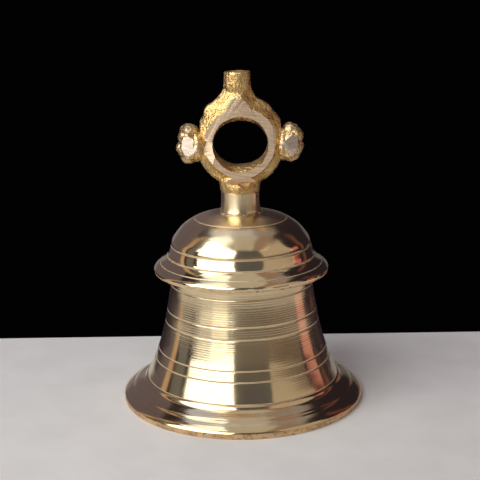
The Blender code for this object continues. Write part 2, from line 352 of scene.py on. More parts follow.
def blended(four: Sequence[float], share: float) -> float:
    """Blends four numbers in a row into one between the middle two, by Catmull and Rom's rule.

    Args:
        four: The numbers.
        share: How far the place is from the second to the third, from 0 to 1.

    Returns:
        The number there.
    """
    a, b, c, d = four
    straight = 0.5 * (2 * b + (c - a) * share + (2 * a - 5 * b + 4 * c - d) * share**2)
    return straight + 0.5 * (3 * b - a - 3 * c + d) * share**3


def smooth_run(stations: Sequence[Point], steps: int) -> list[Point]:
    """Draws a smooth curve through the stations.

    Args:
        stations: The (radius, height) pairs that the curve goes through.
        steps: How many points each stretch between two stations gets.

    Returns:
        The points, the first and last stations included.
    """
    ends = [stations[0], *stations, stations[-1]]
    run = []
    for four in zip(ends, ends[1:], ends[2:], ends[3:]):
        run += [tuple(blended(values, step / steps) for values in zip(*four)) for step in range(steps)]
    return run + [stations[-1]]


def arc_run(height: float, radius: float, top: float, bottom: float, count: int) -> list[Point]:
    """Points down the round side of a ball, the angles in degrees above its waist."""
    angles = [math.radians(top + (bottom - top) * i / count) for i in range(count + 1)]
    return [(radius * math.cos(a), height + radius * math.sin(a)) for a in angles]


def present(
    piece: bpy.types.Object, body: Body, slot: Slot, *nodes: str, note: str = ""
) -> bpy.types.Object:
    """Puts a finished piece on its body, in place of its CAD nodes.

    Args:
        piece: The finished piece.
        body: The body that it rides on.
        slot: The record's material slot; not used.
        nodes: The CAD nodes that it stands for.
        note: What is said of it in the log.

    Returns:
        The piece.
    """
    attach(piece, body.value)
    if nodes:
        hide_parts(*nodes)
    LOG.info("%s: %d faces on %s. %s", piece.name, len(piece.data.polygons), body.value, note)
    return piece


# --- Finishes ---


class Desk:
    """A node tree being wired: adds nodes and joins their sockets."""

    def __init__(self, tree: bpy.types.NodeTree) -> None:
        """Takes the tree to work in."""
        self.tree = tree

    def add(self, kind: str, inputs: dict | None = None, **settings: object) -> bpy.types.Node:
        """Adds a node.

        Args:
            kind: The node's type, without the ShaderNode in front.
            inputs: Socket name or number to a value, or to a socket that is wired to it.
            settings: The node's own properties.

        Returns:
            The node.
        """
        node = self.tree.nodes.new(f"ShaderNode{kind}")
        for name, value in settings.items():
            setattr(node, name, value)
        for key, value in (inputs or {}).items():
            if isinstance(value, bpy.types.NodeSocket):
                self.tree.links.new(value, node.inputs[key])
            else:
                node.inputs[key].default_value = value
        return node

    def math(
        self, operation: str, first: object, second: object = 0.5, third: object = 0.5
    ) -> bpy.types.NodeSocket:
        """Adds a Math node and gives its value."""
        node = self.add("Math", {0: first, 1: second, 2: third}, operation=operation)
        return node.outputs[0]

    def noise(
        self, place: bpy.types.NodeSocket, scale: float = 1.0, detail: float = 4.0
    ) -> bpy.types.NodeSocket:
        """Adds a Noise Texture and gives its grey value."""
        node = self.add("TexNoise", {"Vector": place, "Scale": scale, "Detail": detail})
        return node.outputs[0]

    def spread(
        self, value: bpy.types.NodeSocket, low: float, high: float, to: Point = (0.0, 1.0)
    ) -> bpy.types.NodeSocket:
        """Adds a clamped Map Range from low and high to the two values of to."""
        inputs = {"Value": value, "From Min": low, "From Max": high, "To Min": to[0], "To Max": to[1]}
        return self.add("MapRange", inputs).outputs[0]

    def mix(self, share: object, first: object, second: object) -> bpy.types.NodeSocket:
        """Adds a colour Mix node.

        Args:
            share: The share of the second colour, a number's socket.
            first: A colour, or a socket that gives one.
            second: The same.

        Returns:
            The mixed colour.
        """
        inputs = {0: share, 6: first, 7: second}
        for key in (6, 7):
            if not isinstance(inputs[key], bpy.types.NodeSocket):
                inputs[key] = (*inputs[key], 1.0)
        return self.add("Mix", inputs, data_type="RGBA").outputs[2]

    def scaled(self, place: bpy.types.NodeSocket, times: bpy.types.NodeSocket) -> bpy.types.NodeSocket:
        """Adds a Vector Math node that scales a place."""
        return self.add("VectorMath", {0: place, "Scale": times}, operation="SCALE").outputs[0]

    def pointed(self) -> bpy.types.NodeSocket:
        """Gives how far each place stands out of the surface."""
        return self.add("NewGeometry").outputs["Pointiness"]

    def place(self) -> bpy.types.NodeSocket:
        """Gives the Object coordinates."""
        return self.add("TexCoord").outputs["Object"]

    def bump(self, height: bpy.types.NodeSocket, strength: float, distance: float) -> bpy.types.NodeSocket:
        """Adds a Bump node and gives its normal."""
        return self.add("Bump", {"Height": height, "Strength": strength, "Distance": distance}).outputs[0]


def effect(name: str, numbers: dict[str, float], outputs: Sequence[str]) -> tuple[Desk, dict]:
    """Starts a shared effect as a node group.

    Args:
        name: The group's name.
        numbers: Its inputs and their usual values.
        outputs: The names of its outputs, all plain numbers.

    Returns:
        A desk on the group's tree, and its input sockets by name.
    """
    tree = bpy.data.node_groups.new(name, "ShaderNodeTree")
    for socket, usual in numbers.items():
        made = tree.interface.new_socket(name=socket, in_out="INPUT", socket_type="NodeSocketFloat")
        made.default_value = usual
    for socket in outputs:
        tree.interface.new_socket(name=socket, in_out="OUTPUT", socket_type="NodeSocketFloat")
    entry = tree.nodes.new("NodeGroupInput")
    return Desk(tree), {socket: entry.outputs[socket] for socket in numbers}


def close_effect(desk: Desk, results: dict[str, bpy.types.NodeSocket]) -> bpy.types.NodeTree:
    """Wires an effect's results to its outputs.

    Args:
        desk: The desk on the effect's tree.
        results: The results, by the names of the outputs.

    Returns:
        The finished node group.
    """
    leave = desk.tree.nodes.new("NodeGroupOutput")
    for name, socket in results.items():
        desk.tree.links.new(socket, leave.inputs[name])
    return desk.tree


def lathe_rings() -> bpy.types.NodeTree:
    """The tool's rings round the axis: fine scratches and regular lines, here and there fainter.

    Returns:
        The effect, which puts out Height and Patches.
    """
    desk, given = effect("lathe_rings", {"Rings per metre": 900.0, "Waver": 0.6}, ("Height", "Patches"))
    place = desk.place()
    axes = desk.add("SeparateXYZ", {0: place}).outputs
    flat = desk.add("CombineXYZ", {0: axes[0], 1: axes[1]}).outputs[0]
    radius = desk.add("VectorMath", {0: flat}, operation="LENGTH").outputs["Value"]
    station = desk.add("CombineXYZ", {0: radius, 1: axes[2]}).outputs[0]
    slope, wander_depth, line_height, share = 0.6, 14.0, 0.22, 0.7
    fine = desk.noise(desk.scaled(station, given["Rings per metre"]), detail=5.0)
    course = desk.math("SUBTRACT", axes[2], desk.math("MULTIPLY", radius, slope))
    wander = desk.math("MULTIPLY", desk.noise(station, scale=90.0, detail=2.0), wander_depth)
    turns = desk.math("MULTIPLY", given["Rings per metre"], FULL_TURN)
    phase = desk.math("MULTIPLY_ADD", course, turns, wander)
    lines = desk.math("MULTIPLY_ADD", desk.math("SINE", phase), line_height, line_height)
    patches = desk.spread(desk.noise(place, scale=38.0, detail=3.0), *MIDDLE_GREYS)
    fade = desk.math("MULTIPLY", patches, given["Waver"])
    kept = desk.math("SUBTRACT", 1.0, fade)
    mixed = desk.math("MULTIPLY", desk.math("ADD", fine, lines), share)
    return close_effect(desk, {"Height": desk.math("MULTIPLY", mixed, kept), "Patches": patches})


def cast_skin() -> bpy.types.NodeTree:
    """Sand-cast skin: lumps, small pits and slow changes of tone.

    Returns:
        The effect, which puts out Height, Pits and Tone.
    """
    desk, given = effect("cast_skin", {"Grain": 900.0, "Pit share": 0.3}, ("Height", "Pits", "Tone"))
    pits_per_grain, pit_drop = 1.7, 0.35
    place = desk.scaled(desk.place(), given["Grain"])
    lumps = desk.noise(place, detail=7.0)
    cells = desk.add("TexVoronoi", {"Vector": place, "Scale": pits_per_grain}).outputs["Distance"]
    where = desk.spread(desk.noise(place, scale=0.45, detail=2.0), low=0.42, high=0.6)
    reach = desk.math("MULTIPLY", where, given["Pit share"])
    pits = desk.math("LESS_THAN", cells, reach)
    height = desk.math("SUBTRACT", lumps, desk.math("MULTIPLY", pits, pit_drop))
    tone = desk.spread(desk.noise(place, scale=0.12, detail=3.0), *MIDDLE_GREYS)
    return close_effect(desk, {"Height": height, "Pits": pits, "Tone": tone})


def file_marks() -> bpy.types.NodeTree:
    """Strokes of a coarse file across a flat.

    Returns:
        The effect, which puts out Height and Strokes.
    """
    desk, given = effect("file_marks", {"Strokes per metre": 1500.0, "Slant": 0.12}, ("Height", "Strokes"))
    breaks_per_metre = 60.0
    axes = desk.add("SeparateXYZ", {0: desk.place()}).outputs
    rise = desk.math("ADD", axes[2], desk.math("MULTIPLY", axes[0], given["Slant"]))
    across = desk.math("MULTIPLY", rise, given["Strokes per metre"])
    along = desk.math("MULTIPLY", axes[0], breaks_per_metre)
    place = desk.add("CombineXYZ", {0: along, 1: across}).outputs[0]
    strokes = desk.noise(place)
    broad = desk.noise(place, scale=0.3, detail=2.0)
    height = desk.math("ADD", desk.math("MULTIPLY", strokes, 0.5), desk.math("MULTIPLY", broad, 0.5))
    return close_effect(desk, {"Height": height, "Strokes": desk.spread(strokes, *MIDDLE_GREYS)})


def handling() -> bpy.types.NodeTree:
    """Smears and spots left by hands and polish.

    Returns:
        The effect, which puts out Smears and Spots.
    """
    desk, given = effect("handling", {"Size": 55.0}, ("Smears", "Spots"))
    place = desk.scaled(desk.place(), given["Size"])
    bent = desk.add("TexNoise", {"Vector": place, "Scale": 1.0, "Detail": 6.0, "Distortion": 1.2})
    smears = desk.spread(bent.outputs[0], low=0.4, high=0.72)
    spots = desk.spread(desk.noise(place, scale=9.0, detail=3.0), low=0.66, high=0.74)
    return close_effect(desk, {"Smears": smears, "Spots": spots})


@dataclass
class EffectShelf:
    """The shared effects, each built once and placed in a material with its own values."""

    trees: dict[str, bpy.types.NodeTree] = field(default_factory=dict)

    def place(self, desk: Desk, maker: Callable[[], bpy.types.NodeTree], values: dict | None = None) -> dict:
        """Places an effect in a material.

        Args:
            desk: The material's desk.
            maker: The function that builds the effect.
            values: The effect's inputs.

        Returns:
            The effect's outputs by name.
        """
        if maker.__name__ not in self.trees:
            self.trees[maker.__name__] = maker()
        node = desk.tree.nodes.new("ShaderNodeGroup")
        node.node_tree = self.trees[maker.__name__]
        for name, value in (values or {}).items():
            node.inputs[name].default_value = value
        return {socket.name: socket for socket in node.outputs}


EFFECTS = EffectShelf()


def start_material(name: str) -> tuple[bpy.types.Material, Desk, bpy.types.Node]:
    """Starts a material.

    Args:
        name: The material's name.

    Returns:
        The material, a desk on its tree, and its Principled shader.
    """
    material = bpy.data.materials.new(name)
    material.use_nodes = True
    return material, Desk(material.node_tree), material.node_tree.nodes["Principled BSDF"]


def feed(desk: Desk, shader: bpy.types.Node, **sockets: bpy.types.NodeSocket) -> None:
    """Wires results to the shader's sockets, an underscore in a name standing for a space."""
    for name, socket in sockets.items():
        desk.tree.links.new(socket, shader.inputs[name.replace("_", " ")])


class Finish(Protocol):
    """What every finish can do."""

    def build(self) -> bpy.types.Material:
        """Gives the material."""


def dress(piece: bpy.types.Object, angle: float, finish: Finish) -> None:
    """Shades a piece, with edges sharper than an angle in degrees, and finishes it all over."""
    shade(piece, angle)
    piece.data.materials.append(finish.build())


@dataclass(frozen=True)
class TurnedFinish:
    """Brass as it leaves the lathe and the buff: clear, with fine rings and a few smears."""

    name: str
    metal: Colour = (0.86, 0.72, 0.46)
    tarnish: Colour = (0.62, 0.43, 0.24)
    gloss: Point = (0.13, 0.24)
    ring_depth: float = 0.000024
    ring_tone: float = 0.0
    rings: float = 900.0
    stretch: float = 0.55
    stretch_turn: float = 0.25
    smear_share: float = 0.22
    spot_share: float = 0.5
    satin: Point = (1.0, 2.0)
    satin_gloss: float = 0.0

    def build(self) -> bpy.types.Material:
        """Builds the material: rings, smears and spots, more satin between the satin heights.

        Returns:
            The material.
        """
        material, desk, shader = start_material(self.name)
        rings = EFFECTS.place(desk, lathe_rings, {"Rings per metre": self.rings})
        marks = EFFECTS.place(desk, handling)
        shader.inputs["Metallic"].default_value = 1.0
        shader.inputs["Anisotropic"].default_value = self.stretch
        shader.inputs["Anisotropic Rotation"].default_value = self.stretch_turn
        stained = desk.mix(desk.math("MULTIPLY", marks["Smears"], self.smear_share), self.metal, self.tarnish)
        spotted = desk.mix(desk.math("MULTIPLY", marks["Spots"], self.spot_share), stained, self.tarnish)
        lined = desk.math("MULTIPLY", desk.spread(rings["Height"], 0.30, 0.62), self.ring_tone)
        dull = desk.math("MULTIPLY", desk.math("ADD", marks["Smears"], rings["Patches"]), 0.5)
        rise = desk.add("SeparateXYZ", {0: desk.place()}).outputs[2]
        satin = desk.spread(rise, *self.satin, (0.0, self.satin_gloss))
        cut_deep = desk.math("MULTIPLY", rings["Height"], desk.spread(rise, *self.satin, (0.5, 1.0)))
        feed(
            desk,
            shader,
            Base_Color=desk.mix(lined, spotted, self.tarnish),
            Roughness=desk.math("ADD", desk.spread(dull, 0.0, 1.0, self.gloss), satin),
            Normal=desk.bump(cut_deep, 0.9, self.ring_depth),
        )
        return material


@dataclass(frozen=True)
class CastFinish:
    """Brass as it leaves the mould: grainy, pitted, warm in the hollows."""

    name: str
    metal: Colour = (0.90, 0.67, 0.31)
    hollow: Colour = (0.50, 0.29, 0.09)
    pit: Colour = (0.12, 0.07, 0.04)
    grain: float = 900.0
    pit_share: float = 0.3
    gloss: Point = (0.34, 0.52)
    depth: float = 0.00016
    edges: Point = (0.47, 0.54)
    metallic: float = 1.0

    def build(self) -> bpy.types.Material:
        """Builds the material: bright on raised edges, darker in hollows, pitted.

        Returns:
            The material.
        """
        material, desk, shader = start_material(self.name)
        skin = EFFECTS.place(desk, cast_skin, {"Grain": self.grain, "Pit share": self.pit_share})
        shader.inputs["Metallic"].default_value = self.metallic
        raised = desk.spread(desk.pointed(), *self.edges)
        toned = desk.math("MULTIPLY", desk.math("ADD", raised, skin["Tone"]), 0.5)
        warm = desk.mix(toned, self.hollow, self.metal)
        feed(
            desk,
            shader,
            Base_Color=desk.mix(skin["Pits"], warm, self.pit),
            Roughness=desk.spread(skin["Tone"], 0.0, 1.0, self.gloss),
            Normal=desk.bump(skin["Height"], 1.0, self.depth),
        )
        return material


@dataclass(frozen=True)
class FiledFinish:
    """A flat worked with a coarse file: dull, pinkish, ridged across."""

    name: str
    metal: Colour = (0.90, 0.71, 0.50)
    groove: Colour = (0.62, 0.45, 0.30)
    gloss: float = 0.46
    strokes: float = 1500.0
    slant: float = 0.12
    depth: float = 0.00008
    pit_tone: float = 0.7

    def build(self) -> bpy.types.Material:
        """Builds the material: strokes across, with what is left of the cast pits.

        Returns:
            The material.
        """
        material, desk, shader = start_material(self.name)
        marks = EFFECTS.place(desk, file_marks, {"Strokes per metre": self.strokes, "Slant": self.slant})
        skin = EFFECTS.place(desk, cast_skin, {"Grain": 500.0, "Pit share": 0.16})
        shader.inputs["Metallic"].default_value = 1.0
        shader.inputs["Roughness"].default_value = self.gloss
        struck = desk.mix(marks["Strokes"], self.groove, self.metal)
        feed(
            desk,
            shader,
            Base_Color=desk.mix(desk.math("MULTIPLY", skin["Pits"], self.pit_tone), struck, self.groove),
            Normal=desk.bump(marks["Height"], 0.8, self.depth),
        )
        return material


@dataclass(frozen=True)
class IronFinish:
    """Black forged iron with scale and a little rust, or dull plating over it."""

    name: str
    scale_tone: Colour = (0.13, 0.12, 0.115)
    bare: Colour = (0.42, 0.40, 0.38)
    rust: Colour = (0.30, 0.12, 0.045)
    rust_share: float = 0.5
    gloss: Point = (0.38, 0.7)
    depth: float = 0.00012
    worn_edges: Point = (0.5, 0.58)

    def build(self) -> bpy.types.Material:
        """Builds the material: scale, bare metal on worn edges, rust in smears.

        Returns:
            The material.
        """
        material, desk, shader = start_material(self.name)
        skin = EFFECTS.place(desk, cast_skin, {"Grain": 700.0, "Pit share": 0.22})
        marks = EFFECTS.place(desk, handling, {"Size": 190.0})
        worn = desk.spread(desk.pointed(), *self.worn_edges)
        rusty = desk.math("MULTIPLY", marks["Smears"], self.rust_share)
        clean = desk.mix(worn, self.scale_tone, self.bare)
        feed(
            desk,
            shader,
            Base_Color=desk.mix(rusty, clean, self.rust),
            Metallic=desk.math("SUBTRACT", 1.0, rusty),
            Roughness=desk.spread(marks["Smears"], 0.0, 1.0, self.gloss),
            Normal=desk.bump(skin["Height"], 0.9, self.depth),
        )
        return material


# --- The bell casting ---


@dataclass(frozen=True)
class Groove:
    """A line turned into the outer side, where the run comes nearest to its place."""

    radius: float
    height: float
    depth: float = 0.30
    half_width: float = 0.36

    def away(self, here: Vector) -> float:
        """How far a point of the side is from the groove's middle."""
        return (here - Vector((self.radius, self.height))).length

    def depth_at(self, here: Vector) -> float:
        """How deep the groove is at a point of the side: a V with a rounded floor."""
        return self.depth * max(0.0, 1.0 - self.away(here) / self.half_width) ** 0.8


@dataclass(frozen=True)
class Belt:
    """A belt of a turned piece, between two radii and two heights in millimetres."""

    radii: Point
    heights: Point

    def holds(self, radius: float, height: float) -> bool:
        """Whether a place is in the belt."""
        return self.radii[0] < radius < self.radii[1] and self.heights[0] < height < self.heights[1]


class Zone(IntEnum):
    """The bell casting's finishes, by where they lie."""

    DOME = 0
    GROOVE = 1
    RAW = 2
    INSIDE = 3
    CROWN = 4
    WAIST = 5


@dataclass
class BellCasting:
    """The bell itself: crown, dome, flange, waist, skirt and rim, turned from one casting."""

    steps: int = 216
    crown_top: float = 109.2
    crown_inner: float = 103.2
    crown_edge: float = 106.1
    crown_reach: float = 36.5
    waist_top: float = 74.0
    flange_raw: Point = (72.9, 77.25)
    flange_root: float = 40.9
    flange_inner: float = 40.5
    flange_top: float = 78.0
    rim_raw: float = 3.19
    rim_inner: float = 64.4
    groove_margin: float = 0.5
    polish_share: float = 0.85
    fine_spacing: float = 0.12
    plain_spacing: float = 0.9
    roughness: tuple[Point, ...] = ((0.0045, 0.00030), (0.0016, 0.00016))
    raw_belts: tuple[Belt, ...] = (
        Belt(radii=(64.0, 69.9), heights=(0.6, 3.0)),
        Belt(radii=(41.2, NO_LIMIT), heights=(73.0, 77.1)),
    )
    wall_low: float = 2.0
    wall_high: float = 101.0
    wall_slack: Point = (1.1, 1.6)
    dome: tuple[Point, ...] = (
        (12.8, 109.2), (19.5, 108.3), (26.4, 106.1), (30.6, 103.7), (33.8, 101.3), (36.5, 98.3),
        (38.8, 95.2), (39.7, 93.2), (39.98, 91.9), (40.05, 91.1), (40.35, 90.4), (40.8, 89.0), (41.5, 86.9),
        (42.3, 85.3),
    )
    flange: tuple[Point, ...] = (
        (42.3, 85.3), (43.3, 84.0), (44.9, 82.4), (46.8, 81.0), (48.6, 79.7), (49.8, 78.6), (50.25, 77.7),
        (50.28, 77.35),
    )
    flange_edge: tuple[Point, ...] = (
        (49.95, 77.2), (50.05, 76.5), (49.85, 75.9), (49.2, 75.5), (47.0, 75.2), (44.4, 75.0), (42.4, 74.6),
        (41.4, 73.8), (41.05, 72.8),
    )
    waist: tuple[Point, ...] = (
        (41.0, 72.4), (41.1, 68.8), (41.5, 64.0), (42.2, 59.5), (43.3, 53.6), (44.5, 46.8), (45.6, 42.0),
        (47.5, 35.0), (49.0, 30.6), (51.0, 24.9), (52.7, 20.6), (54.3, 16.8), (55.5, 14.3),
    )
    skirt: tuple[Point, ...] = (
        (55.7, 13.9), (56.4, 13.4), (57.1, 12.6), (57.4, 11.9), (58.6, 11.0), (60.6, 9.9), (62.3, 9.0),
        (63.25, 8.45), (63.45, 8.2), (63.4, 7.75), (63.9, 7.55), (65.4, 6.8), (67.2, 5.75), (68.7, 4.7),
        (69.5, 4.0), (69.88, 3.5),
    )
    rim: tuple[Point, ...] = (
        (69.95, 3.3), (69.7, 3.15), (69.74, 2.5), (69.76, 1.7), (69.7, 0.95), (69.55, 0.4), (69.2, 0.0),
    )
    inside: tuple[Point, ...] = (
        (64.6, 0.0), (64.3, 0.12), (63.9, 0.45), (57.6, 4.8), (52.4, 12.0), (47.3, 24.0), (42.9, 38.0),
        (39.3, 53.0), (37.3, 66.0), (37.0, 78.0), (36.2, 88.0), (32.2, 96.0), (24.0, 101.0), (14.0, 103.0),
        (9.9, 103.2),
    )
    grooves: tuple[Groove, ...] = (
        Groove(26.4, 106.1, 0.26, 0.34),
        Groove(40.1, 91.0, 0.40, 0.50),
        Groove(42.35, 85.15, 0.40, 0.50),
        Groove(46.6, 81.15, 0.20, 0.34),
        Groove(41.1, 68.8, 0.26, 0.38),
        Groove(43.3, 53.6),
        Groove(44.5, 46.8),
        Groove(49.0, 30.6),
        Groove(51.0, 24.9),
        Groove(55.6, 14.0, 0.22, 0.30),
    )

    def outer_run(self) -> list[Point]:
        """Draws the plain outer side.

        Returns:
            Its close points, top to bottom.
        """
        upper = smooth_run(self.dome, steps=14) + smooth_run(self.flange, steps=8)[1:]
        edge = smooth_run(self.flange_edge, steps=4)
        lower = smooth_run(self.waist, steps=24) + smooth_run(self.skirt, steps=6)
        return upper + edge + lower + list(self.rim)

    def cut_line(self, run: Sequence[Point]) -> list[Point]:
        """Thins the run where it is plain and turns the grooves into it.

        Args:
            run: The close points of the plain side.

        Returns:
            The points of the finished side.
        """
        kept = [run[0]]
        rim_start = len(run) - len(self.rim)
        for index in range(1, len(run) - 1):
            here = Vector(run[index])
            along = (Vector(run[index + 1]) - Vector(run[index - 1])).normalized()
            depth = max(groove.depth_at(here) for groove in self.grooves)
            near = any(groove.away(here) < groove.half_width + self.groove_margin for groove in self.grooves)
            spacing = self.fine_spacing if near else self.plain_spacing
            if (here - Vector(kept[-1])).length >= spacing or index >= rim_start:
                inward = Vector((along.y, -along.x))
                kept.append(tuple(here + inward * depth))
        return kept + [run[-1]]

    def in_groove(self, radius: float, height: float) -> bool:
        """Says whether a face lies in a groove, and is dull with old polish.

        Args:
            radius: How far its centre is from the bell's axis, in millimetres.
            height: The height of its centre, in millimetres.

        Returns:
            Whether it is in a groove and off the groove's edges.
        """
        here = Vector((radius, height))
        return any(groove.away(here) < groove.half_width * self.polish_share for groove in self.grooves)

    def zone(self, center: Vector, normal: Vector) -> Zone:
        """Says which finish a face takes.

        Args:
            center: The face's centre, in metres.
            normal: The face's normal.

        Returns:
            The zone that the face lies in.
        """
        radius, height = math.hypot(center.x, center.y) / MM, center.z / MM
        faces_in = normal.x * center.x + normal.y * center.y < 0
        ceiling = height < self.crown_inner + 0.2 and radius < self.crown_reach and normal.z < 0
        flange_edge = self.waist_top < height < self.flange_top and radius > self.flange_inner
        if height < self.rim_raw and radius > self.rim_inner:
            return Zone.RAW
        if (faces_in or ceiling) and not flange_edge:
            return Zone.INSIDE if radius < self.rim_inner else Zone.RAW
        if self.flange_raw[0] < height < self.flange_raw[1] and radius > self.flange_root:
            return Zone.RAW
        if self.in_groove(radius, height):
            return Zone.GROOVE
        if height < self.waist_top:
            return Zone.WAIST
        return Zone.CROWN if height > self.crown_edge else Zone.DOME

    def build(self) -> bpy.types.Object:
        """Turns, roughens and dresses the casting.

        Returns:
            The casting.
        """
        side = self.cut_line(self.outer_run())
        inner = smooth_run(self.inside, steps=3)
        crown = [(BORE_RADIUS, self.crown_inner), (BORE_RADIUS, self.crown_top)]
        casting = turned("bell_body", side + inner + crown, self.steps)
        mark_verts(casting, "raw", self.is_raw)
        for lump, depth in self.roughness:
            roughen(casting, lump, depth, "raw")
        shade(casting, 40)
        paint_faces(casting, list(self.finishes().values()), self.zone)
        return present(casting, Body.BELL, Slot.TURNED_BRASS, "bell_casting", note="one casting")

    def is_raw(self, place: Vector) -> bool:
        """Says whether a vertex lies on a cast skin that the tool never reached.

        Args:
            place: The vertex's place, in metres.

        Returns:
            Whether it is on the rim's edge, under the flange or on the inner wall.
        """
        radius, height = math.hypot(place.x, place.y) / MM, place.z / MM
        in_belt = any(belt.holds(radius, height) for belt in self.raw_belts)
        on_wall = self.wall_low < height < self.wall_high and any(
            abs(radius - r) < self.wall_slack[0] and abs(height - z) < self.wall_slack[1]
            for r, z in smooth_run(self.inside, steps=6)
        )
        return in_belt or on_wall

    @staticmethod
    def finishes() -> dict[Zone, Finish]:
        """Picks the finish of each zone.

        Returns:
            The finishes, in the order of the zones' numbers.
        """
        return {
            Zone.DOME: TurnedFinish(
                "turned_brass_dome", ring_depth=0.000044, gloss=(0.10, 0.19), satin=(0.097, 0.107),
                satin_gloss=0.12,
            ),
            Zone.GROOVE: CastFinish(
                "old_polish_in_grooves", metal=(0.82, 0.70, 0.50), hollow=(0.60, 0.45, 0.28), grain=1400.0,
                pit_share=0.1, gloss=(0.40, 0.55), depth=0.00002, metallic=0.75,
            ),
            Zone.RAW: CastFinish(
                "raw_rim_brass", metal=(0.86, 0.64, 0.38), hollow=(0.62, 0.40, 0.20), grain=850.0,
                pit_share=0.42, gloss=(0.42, 0.6), depth=0.00012,
            ),
            Zone.INSIDE: CastFinish(
                "cast_inside", metal=(0.58, 0.44, 0.25), hollow=(0.30, 0.20, 0.11), grain=520.0,
                pit_share=0.3, gloss=(0.45, 0.65), depth=0.0002,
            ),
            Zone.CROWN: TurnedFinish(
                "turned_brass_crown", gloss=(0.26, 0.42), ring_depth=0.0001, ring_tone=0.3, rings=1100.0,
            ),
            Zone.WAIST: TurnedFinish(
                "turned_brass_waist", ring_depth=0.000085, ring_tone=0.36, gloss=(0.10, 0.19), rings=700.0,
                satin=(0.030, 0.056), satin_gloss=0.075,
            ),
        }


# --- The hanger casting ---


@dataclass(frozen=True)
class FileCut:
    """One flat worked with the file: a plane that leans a little, over a patch of the casting."""

    across: float
    height: float
    level: float
    width: float
    tall: float
    turn: float = 0.0
    lean: float = 0.0
    spin: float = 0.0
    reach: float = 6.0
    slack: float = 0.03
    likeness: float = 0.985

    def frame(self, side: int) -> Matrix:
        """Works out the flat's place and lie, its own +Z looking out of the metal.

        Args:
            side: -1 for the front, 1 for the back.

        Returns:
            The flat's matrix.
        """
        place = Matrix.Translation(Vector((self.across, side * self.level, self.height)) * MM)
        face = Matrix.Rotation(math.radians(-90.0 * side), 4, "X")
        lean = Matrix.Rotation(math.radians(side * self.lean), 4, "X")
        turn = Matrix.Rotation(math.radians(self.turn), 4, "Z")
        roll = Matrix.Rotation(math.radians(self.spin), 4, "Y")
        return place @ turn @ lean @ roll @ face

    def cutter(self, side: int) -> bpy.types.Object:
        """Makes a block of what the file takes away.

        Args:
            side: -1 for the front, 1 for the back.

        Returns:
            The block, its lower face on the flat.
        """
        lay_down_all()
        bpy.ops.mesh.primitive_cube_add(size=MM)
        block = bpy.context.object
        with edit_mode(block):
            bpy.ops.transform.resize(value=(self.width, self.tall, self.reach))
            bpy.ops.transform.translate(value=(0, 0, self.reach / 2 * MM))
        block.matrix_world = self.frame(side)
        settle(block)
        return block

    def holds(self, center: Vector, normal: Vector, side: int) -> bool:
        """Says whether a face lies on the flat.

        Args:
            center: The face's centre, in metres.
            normal: The face's normal.
            side: -1 for the front, 1 for the back.

        Returns:
            Whether it is within the flat's edges, in its plane and facing its way.
        """
        local = self.frame(side).inverted() @ center
        lie = self.frame(side).to_3x3() @ Vector((0, 0, 1))
        within = abs(local.x) < self.width * MM / 2 and abs(local.y) < self.tall * MM / 2
        return within and abs(local.z) < self.slack * MM and normal.dot(lie) > self.likeness


@dataclass(frozen=True)
class RingStretch:
    """A stretch of the ring's skin, and how it is resized about the middle of the hole.

    Its reach is from the hole's axis and its depth from the ring's mid-plane, from least to most; its
    top is above the middle. All are in millimetres.
    """

    reach: Point
    depth: Point
    top: float
    size: Triple

    def holds(self, place: Vector, middle: Vector) -> bool:
        """Says whether a vertex lies on the stretch.

        Args:
            place: The vertex's place, in metres.
            middle: The middle of the hole, in metres.

        Returns:
            Whether it does.
        """
        across = math.hypot(place.x - middle.x, place.z - middle.z)
        near = self.reach[0] * MM <= across < self.reach[1] * MM
        level = self.depth[0] * MM <= abs(place.y) < self.depth[1] * MM
        return near and level and place.z < middle.z + self.top * MM


